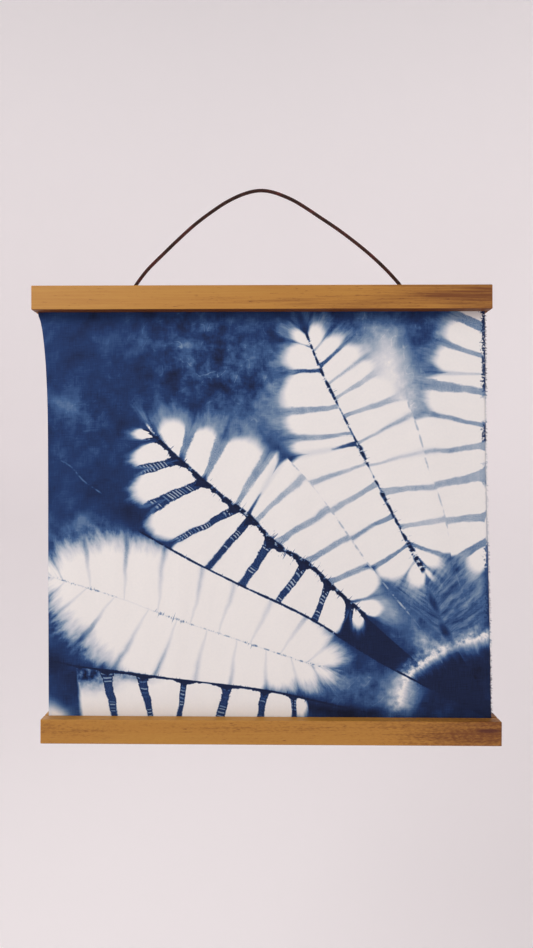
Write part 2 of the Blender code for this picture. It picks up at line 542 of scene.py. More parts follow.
@dataclass(frozen=True)
class Line:
    """The dark line that a seam's own stitches left.

    Attributes:
        seam: The seam.
        width: Half its width.
        tone: How dark it is.
        dash: How long its dashes are.
        gaps: How much of it the dashes leave pale, 0 to 1.
        spikes: How far dye ran out along the creases beside it.
        fade: How far from each end it dies away.
        knots: Places along it, each with how many times its width it is there.
        pale_on_dark: Whether the thread kept the dye out where the cloth is dark.
    """

    seam: Seam
    width: float
    tone: float
    dash: float = 0.004
    gaps: float = 0.3
    spikes: float = 0.002
    fade: float = 0.006
    knots: tuple[Point, ...] = ((0.0, 1.0),)
    pale_on_dark: bool = False

    def girth(self, along: np.ndarray) -> np.ndarray:
        """How many times its width it is at each place."""
        places, sizes = np.array(self.knots).T
        return np.interp(along, places, sizes)

    def measure(self, located: Located) -> np.ndarray:
        """One vector a place: along, across and how strongly the line shows there."""
        along, across = located[self.seam.name]
        ends = np.minimum(along, self.seam.length - along)
        shown = np.clip(ends / self.fade, -1.0, 1.0) * np.minimum(self.girth(along), 1.0)
        return np.stack([along, across, shown], axis=1)


def measure_lines(lines: Sequence[Line], located: Located) -> dict[str, np.ndarray]:
    """Give each place the numbers of the nearest line.

    Args:
        lines: The lines, no two of them side by side.
        located: Where the places lie from each seam.

    Returns:
        Vectors by name, one row a place.
    """
    reach = 0.009  # no line shows further out than this
    count = len(located[lines[0].seam.name][0])
    stored = {name: np.zeros((count, 3)) for name in ("line", "line_ink", "line_run")}
    nearest = np.full(count, np.inf)
    for number, line in enumerate(lines):
        vector = line.measure(located)
        vector[:, 0] += number
        distance = np.abs(vector[:, 1])
        vector[distance > reach, 2] = -1.0
        distance += np.where(vector[:, 2] <= -1.0, reach, 0.0)
        taken = distance < nearest
        nearest[taken] = distance[taken]
        stored["line"][taken] = vector[taken]
        stored["line_ink"][taken] = (line.width, line.tone, line.dash)
        stored["line_run"][taken] = (line.gaps, line.spikes, float(line.pale_on_dark))
        girth = line.girth(vector[taken, 0] - number)
        stored["line_ink"][taken, 0] *= girth
        stored["line_run"][taken, 1] *= np.minimum(girth, 1.6)
    return stored


@dataclass(frozen=True)
class Cloud:
    """A soft patch where the dye is thinner or thicker.

    Attributes:
        x: Its middle.
        z: Its middle.
        length: Half its longer size.
        breadth: Half its shorter size.
        turn: Its direction in degrees.
        amount: What it adds to the tone, below nought where paler.
    """

    x: float
    z: float
    length: float
    breadth: float
    turn: float
    amount: float

    def add_to(self, tone: np.ndarray, places: np.ndarray) -> np.ndarray:
        """The tone with this patch added."""
        angle = math.radians(self.turn)
        offset = places - np.array([self.x, self.z])
        along = offset @ np.array([math.cos(angle), math.sin(angle)])
        across = offset @ np.array([-math.sin(angle), math.cos(angle)])
        return tone + self.amount * np.exp(-((along / self.length) ** 2) - (across / self.breadth) ** 2)


UPPER = Seam(
    "upper",
    ((0.039, -0.119), (0.054, -0.156), (0.079, -0.206), (0.105, -0.258), (0.122, -0.291), (0.139, -0.322)),
)
FOLD = Seam(
    "fold",
    (
        (0.121, -0.128), (0.122, -0.150), (0.125, -0.178), (0.134, -0.204), (0.142, -0.235), (0.150, -0.255),
        (0.157, -0.280), (0.163, -0.315), (0.177, -0.355),
    ),
)
JOIN = Seam(
    "join",
    (
        (0.026, -0.228), (0.046, -0.250), (0.061, -0.270), (0.077, -0.293), (0.091, -0.313), (0.115, -0.343),
        (0.137, -0.370), (0.158, -0.404),
    ),
)
MIDDLE = Seam(
    "middle",
    (
        (-0.092, -0.202), (-0.067, -0.226), (-0.032, -0.256), (-0.006, -0.276), (0.014, -0.297),
        (0.043, -0.315), (0.063, -0.334), (0.094, -0.361),
    ),
)
STITCHED = Seam(
    "stitched",
    (
        (-0.103, -0.285), (-0.057, -0.311), (-0.011, -0.334), (0.022, -0.349), (0.052, -0.365),
        (0.098, -0.394), (0.160, -0.427),
    ),
)
LOWER = Seam(
    "lower",
    (
        (-0.176, -0.324), (-0.140, -0.335), (-0.110, -0.345), (-0.070, -0.360), (-0.028, -0.374),
        (0.038, -0.396), (0.062, -0.402),
    ),
)
FOOT = Seam(
    "foot",
    (
        (-0.177, -0.394), (-0.150, -0.400), (-0.100, -0.407), (-0.050, -0.413), (0.005, -0.420),
        (0.040, -0.427), (0.100, -0.441),
    ),
)
SELVEDGE = Seam("selvedge", ((0.190, -0.098), (0.190, -0.200), (0.191, -0.300), (0.194, -0.400)))
TAIL = Seam("tail", ((0.139, -0.322), (0.150, -0.352), (0.162, -0.378), (0.181, -0.410), (0.197, -0.440)))
ARC = Seam(
    "arc",
    ((0.200, -0.373), (0.181, -0.377), (0.158, -0.385), (0.139, -0.396), (0.123, -0.412), (0.116, -0.440)),
)
CREASE = Seam("crease", ((0.092, -0.360), (0.112, -0.378), (0.136, -0.399)))
WRINKLE = Seam("wrinkle", ((-0.172, -0.224), (-0.158, -0.232), (-0.146, -0.245), (-0.130, -0.256)))

SEAMS = (UPPER, FOLD, JOIN, MIDDLE, STITCHED, LOWER, FOOT, SELVEDGE, TAIL, ARC, CREASE, WRINKLE)

PALE_RIBS = Look(rounding=0.013, softness=0.0007, root=0.0010, root_tone=0.12, halo=0.018, streaks=0.7)
ROUND_RIBS = Look(rounding=0.018, softness=0.0008, root=0.0014, root_tone=0.5, halo=0.026, streaks=0.6)
DARK_RIBS = Look(
    rounding=0.028, softness=0.0004, rungs=0.9, root=0.0026, root_tone=1.1, halo=0.010, streaks=0.8
)
FAINT_RIBS = Look(
    rounding=0.006, pale=0.01, softness=0.0008, root=0.0010, root_tone=0.04, late=0.031, halo=0.016
)
FOOT_RIBS = Look(rounding=0.022, softness=0.0004, rungs=0.7, root=0.0012, root_tone=1.1, halo=0.0)
SHADED_RIBS = Look(
    rounding=0.004, pale=0.67, softness=0.0050, root=0.002, root_tone=0.7, halo=0.0, streaks=1.2
)

UPPER_LEFT = Fan(UPPER, Side.RIGHT, PALE_RIBS, (
    Rib(at=0.000, angle=140, reach=0.009, feather=0.004, width=0.0),
    Rib(at=0.014, angle=165, reach=0.021, width=0.0003, tone=0.2, length=0.008),
    Rib(at=0.035, angle=184, reach=0.031, width=0.0008, tone=0.90, flare=1.4),
    Rib(at=0.068, angle=188, reach=0.050, width=0.0010, tone=0.46, flare=2.2),
    Rib(at=0.095, angle=184, reach=0.052, feather=0.005, width=0.0009, tone=0.44, flare=1.6),
    Rib(at=0.104, angle=191, reach=0.056, width=0.0014, tone=0.98, flare=-0.9, length=0.024),
    Rib(at=0.122, angle=200, reach=0.090, width=0.0007, tone=0.38, flare=3.0),
    Rib(at=0.141, angle=211, reach=0.090, width=0.0015, tone=0.38, flare=0.5),
    Rib(at=0.171, angle=208, reach=0.075, width=0.0014, tone=0.55, flare=-0.3),
    Rib(at=0.198, angle=215, reach=0.042, feather=0.005, width=0.0010, tone=0.60, flare=1.2),
    Rib(at=0.212, angle=238, reach=0.022, width=0.0006, tone=0.30),
    Rib(at=0.232, angle=265, reach=0.008, feather=0.004, width=0.0),
), bounds=((JOIN, Side.LEFT),))

UPPER_RIGHT = Fan(UPPER, Side.LEFT, PALE_RIBS, (
    Rib(at=0.000, angle=75, reach=0.009, feather=0.004, width=0.0),
    Rib(at=0.018, angle=50, reach=0.022, width=0.0005, tone=0.30),
    Rib(at=0.032, angle=43, reach=0.034, width=0.0010, tone=0.85, flare=0.3),
    Rib(at=0.048, angle=36, reach=0.043, width=0.0006, tone=0.34, flare=1.0),
    Rib(at=0.062, angle=33, reach=0.044, width=0.0008, tone=0.30, flare=1.6),
    Rib(at=0.078, angle=19, reach=0.052, width=0.0009, tone=0.40, flare=1.6),
    Rib(at=0.104, angle=29, reach=0.066, feather=0.004, width=0.0008, tone=0.42, flare=0.4),
    Rib(at=0.124, angle=14, reach=0.090, width=0.0007, tone=0.26, flare=-0.2),
    Rib(at=0.149, angle=6, reach=0.090, width=0.0020, tone=0.36, flare=-0.2),
    Rib(at=0.182, angle=10, reach=0.090, width=0.0015, tone=0.30, flare=0.6),
    Rib(at=0.197, angle=-20, reach=0.034, feather=0.005, width=0.0009, tone=0.62, flare=0.6),
    Rib(at=0.212, angle=-40, reach=0.018, width=0.0012, tone=0.60, length=0.012),
    Rib(at=0.230, angle=-52, reach=0.008, feather=0.004, width=0.0),
), bounds=((FOLD, Side.RIGHT),))

EDGE_LEAF = Fan(SELVEDGE, Side.RIGHT, PALE_RIBS, (
    Rib(at=0.000, angle=160, reach=0.022, feather=0.005, width=0.0),
    Rib(at=0.018, angle=158, reach=0.030, feather=0.005, width=0.0026, tone=0.62, flare=0.6),
    Rib(at=0.043, angle=160, reach=0.042, width=0.0009, tone=0.50, flare=2.2),
    Rib(at=0.057, angle=178, reach=0.044, width=0.0005, tone=0.20, flare=2.0),
    Rib(at=0.072, angle=172, reach=0.054, feather=0.008, width=0.0018, tone=0.48, flare=1.6),
    Rib(at=0.100, angle=168, reach=0.052, feather=0.005, width=0.0012, tone=0.60, flare=0.4),
    Rib(at=0.117, angle=186, reach=0.100, width=0.0022, tone=0.42, flare=-1.0),
    Rib(at=0.141, angle=192, reach=0.100, width=0.0036, tone=0.40, flare=-0.8),
    Rib(at=0.176, angle=187, reach=0.100, width=0.0026, tone=0.42, flare=-0.4),
    Rib(at=0.197, angle=211, reach=0.026, feather=0.006, width=0.0018, tone=0.60, flare=0.8),
    Rib(at=0.222, angle=222, reach=0.010, feather=0.006, width=0.0),
), bounds=((FOLD, Side.LEFT),))

MIDDLE_UP = Fan(MIDDLE, Side.LEFT, ROUND_RIBS, (
    Rib(at=-0.006, angle=132, reach=0.002, feather=0.002, width=0.0),
    Rib(at=0.008, angle=112, reach=0.010, width=0.0011, tone=0.66, flare=0.4),
    Rib(at=0.036, angle=72, reach=0.032, feather=0.004, width=0.0015, tone=0.62, flare=2.0),
    Rib(at=0.062, angle=66, reach=0.044, feather=0.005, width=0.0013, tone=0.52, flare=3.2),
    Rib(at=0.096, angle=57, reach=0.058, feather=0.006, width=0.0012, tone=0.46, flare=2.6),
    Rib(at=0.109, angle=59, reach=0.058, width=0.0010, tone=1.0, flare=-0.9, length=0.024),
    Rib(at=0.117, angle=43, reach=0.090, width=0.0013, tone=0.40, flare=1.2),
    Rib(at=0.142, angle=32, reach=0.090, width=0.0022, tone=0.44, flare=-0.2),
    Rib(at=0.172, angle=30, reach=0.090, width=0.0018, tone=0.46, flare=-0.1),
    Rib(at=0.198, angle=22, reach=0.046, feather=0.005, width=0.0016, tone=0.50, flare=0.4),
    Rib(at=0.222, angle=12, reach=0.026, feather=0.004, width=0.0010, tone=0.60),
    Rib(at=0.246, angle=-20, reach=0.006, feather=0.003, width=0.0),
), bounds=((JOIN, Side.RIGHT),))

MIDDLE_LOW = Fan(MIDDLE, Side.RIGHT, DARK_RIBS, (
    Rib(at=-0.006, angle=160, reach=0.006, feather=0.004, width=0.0),
    Rib(at=0.010, angle=194, reach=0.020, feather=0.004, width=0.0016, tone=1.1, flare=0.6),
    Rib(at=0.035, angle=196, reach=0.044, feather=0.007, width=0.0024, tone=1.1, flare=0.9),
    Rib(at=0.062, angle=207, reach=0.062, feather=0.008, width=0.0028, tone=1.1, flare=0.9),
    Rib(at=0.099, angle=208, reach=0.074, feather=0.006, width=0.0026, tone=1.1, flare=-0.2),
    Rib(at=0.112, angle=230, reach=0.090, width=0.0024, tone=1.12, flare=0.0),
    Rib(at=0.138, angle=237, reach=0.090, width=0.0034, tone=1.08, flare=-0.2),
    Rib(at=0.173, angle=234, reach=0.090, width=0.0028, tone=1.1, flare=-0.2),
    Rib(at=0.197, angle=252, reach=0.058, feather=0.006, width=0.0024, tone=1.12, flare=0.2),
    Rib(at=0.222, angle=265, reach=0.024, feather=0.005, width=0.0022, tone=1.1, flare=1.0),
    Rib(at=0.243, angle=285, reach=0.004, feather=0.003, width=0.0),
), bounds=((STITCHED, Side.LEFT),))

LOWER_UP = Fan(LOWER, Side.LEFT, FAINT_RIBS, (
    Rib(at=-0.006, angle=130, reach=0.010, feather=0.008, width=0.0),
    Rib(at=0.012, angle=115, reach=0.020, feather=0.012, width=0.0010, tone=0.35, flare=2.0),
    Rib(at=0.037, angle=98, reach=0.040, feather=0.014, width=0.0006, tone=0.75, flare=1.4),
    Rib(at=0.066, angle=88, reach=0.052, feather=0.014, width=0.0006, tone=0.70, flare=1.6),
    Rib(at=0.096, angle=84, reach=0.060, feather=0.016, width=0.0004, tone=0.30, flare=2.0),
    Rib(at=0.126, angle=78, reach=0.080, width=0.0004, tone=0.42, flare=2.0),
    Rib(at=0.150, angle=72, reach=0.080, width=0.0004, tone=0.30, flare=2.0),
    Rib(at=0.178, angle=64, reach=0.080, width=0.0004, tone=0.26, flare=2.0),
    Rib(at=0.204, angle=54, reach=0.050, feather=0.014, width=0.0006, tone=0.36, flare=2.0),
    Rib(at=0.228, angle=38, reach=0.030, feather=0.010, width=0.0008, tone=0.40, flare=2.0),
    Rib(at=0.250, angle=5, reach=0.006, feather=0.008, width=0.0),
), bounds=((STITCHED, Side.RIGHT),))

LOWER_DOWN = Fan(LOWER, Side.RIGHT, FAINT_RIBS, (
    Rib(at=-0.002, angle=225, reach=0.009, feather=0.009, width=0.0),
    Rib(at=0.014, angle=228, reach=0.020, feather=0.012, width=0.0004, tone=0.70, flare=1.4),
    Rib(at=0.034, angle=220, reach=0.036, feather=0.016, width=0.0004, tone=0.95, flare=0.4),
    Rib(at=0.058, angle=231, reach=0.046, feather=0.018, width=0.0004, tone=0.95, flare=3.6),
    Rib(at=0.088, angle=240, reach=0.060, feather=0.016, width=0.0004, tone=0.45, flare=2.0),
    Rib(at=0.114, angle=248, reach=0.080, feather=0.006, width=0.0003, tone=0.80, flare=2.6),
    Rib(at=0.140, angle=256, reach=0.080, feather=0.006, width=0.0004, tone=0.36, flare=2.0),
    Rib(at=0.166, angle=262, reach=0.080, feather=0.008, width=0.0005, tone=0.50, flare=2.0),
    Rib(at=0.192, angle=270, reach=0.036, feather=0.010, width=0.0006, tone=0.50, flare=2.0),
    Rib(at=0.214, angle=284, reach=0.028, feather=0.010, width=0.0008, tone=0.50, flare=2.0),
    Rib(at=0.232, angle=300, reach=0.018, feather=0.010, width=0.0008, tone=0.44, flare=2.0),
    Rib(at=0.251, angle=330, reach=0.006, feather=0.008, width=0.0),
), bounds=((FOOT, Side.LEFT),))

FOOT_LOBES = Fan(FOOT, Side.RIGHT, FOOT_RIBS, (
    Rib(at=0.020, angle=274, reach=0.060, width=0.0),
    Rib(at=0.050, angle=281, reach=0.060, width=0.0044, tone=1.1, flare=-0.8),
    Rib(at=0.080, angle=282, reach=0.060, width=0.0034, tone=1.1, flare=-0.6),
    Rib(at=0.116, angle=261, reach=0.060, width=0.0018, tone=1.1, flare=0.4),
    Rib(at=0.153, angle=255, reach=0.060, width=0.0028, tone=1.1, flare=0.3),
    Rib(at=0.184, angle=259, reach=0.060, width=0.0024, tone=1.1, flare=0.2),
    Rib(at=0.208, angle=275, reach=0.026, feather=0.006, width=0.0016, tone=0.90),
    Rib(at=0.222, angle=290, reach=0.006, feather=0.006, width=0.0),
))

TAIL_LEFT = Fan(TAIL, Side.RIGHT, SHADED_RIBS, (
    Rib(at=-0.020, angle=158, reach=0.050, feather=0.020, width=0.0),
    Rib(at=0.000, angle=172, reach=0.060, feather=0.020, width=0.0030, tone=0.62),
    Rib(at=0.020, angle=150, reach=0.064, feather=0.022, width=0.0036, tone=0.60),
    Rib(at=0.042, angle=146, reach=0.052, feather=0.020, width=0.0034, tone=0.64),
    Rib(at=0.066, angle=148, reach=0.016, feather=0.014, width=0.0),
), bounds=((STITCHED, Side.LEFT),))

TAIL_RIGHT = Fan(TAIL, Side.LEFT, SHADED_RIBS, (
    Rib(at=-0.016, angle=60, reach=0.050, feather=0.016, width=0.0),
    Rib(at=0.006, angle=52, reach=0.070, feather=0.018, width=0.0028, tone=0.58),
    Rib(at=0.026, angle=46, reach=0.060, feather=0.018, width=0.0034, tone=0.62),
    Rib(at=0.048, angle=34, reach=0.050, feather=0.018, width=0.0034, tone=0.66),
    Rib(at=0.064, angle=20, reach=0.020, feather=0.012, width=0.0),
))

LAYERS = (
    Layer("first", (TAIL_LEFT, LOWER_DOWN)),
    Layer("second", (TAIL_RIGHT, LOWER_UP), under_depths=True),
    Layer("third", (UPPER_LEFT, MIDDLE_LOW, EDGE_LEAF, FOOT_LOBES)),
    Layer("fourth", (UPPER_RIGHT, MIDDLE_UP)),
)

LINES = (
    Line(WRINKLE, width=0.0003, tone=0.66, dash=0.009, gaps=0.55, spikes=0.0010, pale_on_dark=True),
    Line(FOLD, width=0.0005, tone=0.26, dash=0.010, gaps=0.55, spikes=0.0006, pale_on_dark=True, knots=(
        (0.000, 1.0), (0.070, 1.2), (0.085, 0.9), (0.106, 1.0), (0.112, 0.0), (0.128, 0.0),
        (0.133, 0.8), (0.160, 0.8), (0.170, 0.0), (0.190, 0.2), (0.196, 0.35), (0.240, 0.3),
    )),
    Line(JOIN, width=0.0005, tone=0.26, dash=0.007, gaps=0.55, spikes=0.0008, pale_on_dark=True, knots=(
        (0.000, 0.9), (0.028, 0.5), (0.040, 0.1), (0.052, 0.9), (0.105, 1.0), (0.120, 0.4),
        (0.150, 0.9), (0.170, 0.30), (0.220, 0.35),
    )),
    Line(LOWER, width=0.0004, tone=0.58, dash=0.005, gaps=0.68, spikes=0.0040, fade=0.010, knots=(
        (0.000, 0.5), (0.020, 0.8), (0.028, 0.2), (0.038, 1.6), (0.046, 0.2), (0.056, 0.8), (0.068, 0.1),
        (0.092, 0.2), (0.098, 2.4), (0.104, 0.4), (0.112, 3.2), (0.122, 0.9), (0.130, 0.3), (0.152, 0.7),
        (0.170, 0.3), (0.180, 1.8), (0.186, 0.3), (0.196, 0.8), (0.240, 0.7),
    )),
    Line(FOOT, width=0.0005, tone=1.10, dash=0.004, gaps=0.15, spikes=0.0036, knots=(
        (0.000, 1.0), (0.040, 1.0), (0.056, 2.4), (0.090, 2.0), (0.104, 0.8), (0.112, 1.0), (0.122, 0.7),
        (0.134, 0.5), (0.146, 1.2), (0.164, 1.6), (0.176, 1.2), (0.300, 1.6),
    )),
    Line(STITCHED, width=0.0006, tone=1.10, dash=0.005, gaps=0.2, spikes=0.0030, knots=(
        (0.000, 1.0), (0.030, 0.9), (0.050, 1.3), (0.068, 0.7),
        (0.092, 1.1), (0.110, 0.8), (0.122, 1.3), (0.300, 0.9),
    )),
    Line(MIDDLE, width=0.0012, tone=1.15, dash=0.005, gaps=0.34, spikes=0.0085, fade=0.008, knots=(
        (0.000, 0.5), (0.018, 1.1), (0.030, 0.8), (0.046, 1.3), (0.060, 0.8), (0.072, 1.2), (0.082, 0.8),
        (0.098, 1.3), (0.110, 1.7), (0.126, 1.0), (0.138, 1.9), (0.152, 1.3), (0.172, 1.5), (0.190, 1.1),
        (0.212, 1.0), (0.234, 0.9), (0.252, 0.6),
    )),
    Line(UPPER, width=0.0007, tone=1.12, dash=0.0055, gaps=0.46, spikes=0.0050, fade=0.004, knots=(
        (0.000, 1.4), (0.012, 0.9), (0.024, 0.8), (0.033, 1.7), (0.042, 0.8), (0.052, 1.7), (0.062, 1.4),
        (0.068, 0.4), (0.078, 0.6), (0.084, 1.2), (0.092, 0.5), (0.100, 0.9), (0.108, 3.0), (0.115, 1.6),
        (0.122, 1.6), (0.126, 0.3), (0.132, 0.1), (0.138, 1.2), (0.145, 0.5), (0.150, 2.2), (0.166, 1.2),
        (0.176, 1.6), (0.184, 0.9), (0.196, 1.8), (0.206, 3.2), (0.218, 3.0), (0.232, 1.5),
    )),
)

GROUND_TONE = 0.91
CLOUDS = (
    Cloud(x=-0.005, z=-0.150, length=0.060, breadth=0.022, turn=-58, amount=-0.11),
    Cloud(x=0.012, z=-0.195, length=0.030, breadth=0.020, turn=70, amount=-0.18),
    Cloud(x=-0.020, z=-0.190, length=0.050, breadth=0.014, turn=15, amount=-0.12),
    Cloud(x=-0.164, z=-0.181, length=0.026, breadth=0.0060, turn=-30, amount=-0.16),
    Cloud(x=-0.149, z=-0.278, length=0.007, breadth=0.0090, turn=0, amount=-0.16),
    Cloud(x=-0.170, z=-0.441, length=0.015, breadth=0.0085, turn=-35, amount=-1.00),
    Cloud(x=-0.164, z=-0.404, length=0.020, breadth=0.0100, turn=-40, amount=0.16),
    Cloud(x=-0.075, z=-0.135, length=0.050, breadth=0.014, turn=-25, amount=-0.08),
    Cloud(x=-0.160, z=-0.185, length=0.020, breadth=0.014, turn=-30, amount=-0.08),
    Cloud(x=-0.155, z=-0.250, length=0.012, breadth=0.050, turn=10, amount=-0.05),
    Cloud(x=-0.160, z=-0.292, length=0.034, breadth=0.018, turn=15, amount=-0.20),
    Cloud(x=0.108, z=-0.148, length=0.040, breadth=0.022, turn=-76, amount=-0.84),
    Cloud(x=0.128, z=-0.190, length=0.026, breadth=0.012, turn=-80, amount=-0.46),
    Cloud(x=0.166, z=-0.113, length=0.016, breadth=0.010, turn=0, amount=-0.20),
    Cloud(x=0.090, z=-0.104, length=0.060, breadth=0.008, turn=0, amount=0.10),
    Cloud(x=-0.110, z=-0.270, length=0.040, breadth=0.012, turn=-25, amount=0.16),
    Cloud(x=0.112, z=-0.352, length=0.030, breadth=0.016, turn=-45, amount=-0.26),
    Cloud(x=0.172, z=-0.420, length=0.030, breadth=0.026, turn=20, amount=0.26),
    Cloud(x=0.072, z=-0.412, length=0.036, breadth=0.016, turn=-20, amount=-0.20),
    Cloud(x=0.120, z=-0.420, length=0.016, breadth=0.014, turn=0, amount=-0.40),
    Cloud(x=0.058, z=-0.436, length=0.070, breadth=0.006, turn=-8, amount=0.26),
)
CREASED = (
    Cloud(x=-0.035, z=-0.145, length=0.070, breadth=0.045, turn=-35, amount=1.0),
    Cloud(x=0.100, z=-0.115, length=0.060, breadth=0.020, turn=0, amount=0.6),
    Cloud(x=-0.150, z=-0.190, length=0.040, breadth=0.030, turn=-30, amount=0.35),
    Cloud(x=0.130, z=-0.190, length=0.040, breadth=0.020, turn=90, amount=0.7),
    Cloud(x=-0.155, z=-0.290, length=0.030, breadth=0.016, turn=10, amount=0.6),
    Cloud(x=0.150, z=-0.350, length=0.060, breadth=0.040, turn=-60, amount=0.6),
    Cloud(x=0.090, z=-0.420, length=0.050, breadth=0.020, turn=-20, amount=0.6),
)


# Soft dark places, laid over the leaves at the tail, and pale ones, dark where below nought
SHADES = (
    Cloud(x=0.146, z=-0.346, length=0.022, breadth=0.0055, turn=-66, amount=1.00),
    Cloud(x=0.158, z=-0.374, length=0.024, breadth=0.0068, turn=-62, amount=1.08),
    Cloud(x=0.176, z=-0.404, length=0.026, breadth=0.0080, turn=-58, amount=1.10),
    Cloud(x=0.192, z=-0.434, length=0.024, breadth=0.0160, turn=-50, amount=1.10),
)
VEILS = (
    Cloud(x=0.137, z=-0.377, length=0.011, breadth=0.0085, turn=-45, amount=0.50),
    Cloud(x=0.150, z=-0.386, length=0.014, breadth=0.0060, turn=30, amount=0.40),
    Cloud(x=0.116, z=-0.424, length=0.020, breadth=0.0075, turn=75, amount=0.50),
    Cloud(x=0.128, z=-0.430, length=0.012, breadth=0.0070, turn=60, amount=0.26),
    Cloud(x=-0.147, z=-0.406, length=0.021, breadth=0.0100, turn=-8, amount=-0.95),
    Cloud(x=-0.112, z=-0.408, length=0.020, breadth=0.0035, turn=-8, amount=-0.40),
    Cloud(x=0.182, z=-0.378, length=0.014, breadth=0.0070, turn=12, amount=0.35),
    Cloud(x=0.112, z=-0.352, length=0.018, breadth=0.0080, turn=-50, amount=0.14),
)


def measure_depths(places: np.ndarray, located: Located) -> np.ndarray:
    """Find the sharp-edged field of deepest dye and the soft shades and veils by it.

    Args:
        places: x and z, one row a place.
        located: Where those places lie from each seam.

    Returns:
        One vector a place: how far inside that field it is, how deep a shade lies on it
        and how strong a veil.
    """
    past_arc = 0.005  # the field is bare this far beyond the pale arc
    left_end = 0.046
    above = np.minimum(located[STITCHED.name][1], -located[CREASE.name][1])
    above = np.minimum(above, places[:, 0] - left_end)
    below = np.minimum(located[STITCHED.name][1], located[ARC.name][1] - past_arc)
    field = np.maximum(above, np.minimum(below, -located[TAIL.name][1]))
    nothing = np.zeros(len(places))
    shade, veil = nothing, nothing
    for cloud in SHADES:
        shade = np.maximum(shade, cloud.add_to(nothing, places))
    for cloud in VEILS:
        veil = cloud.add_to(veil, places)
    return np.stack([field, shade, veil], axis=1)


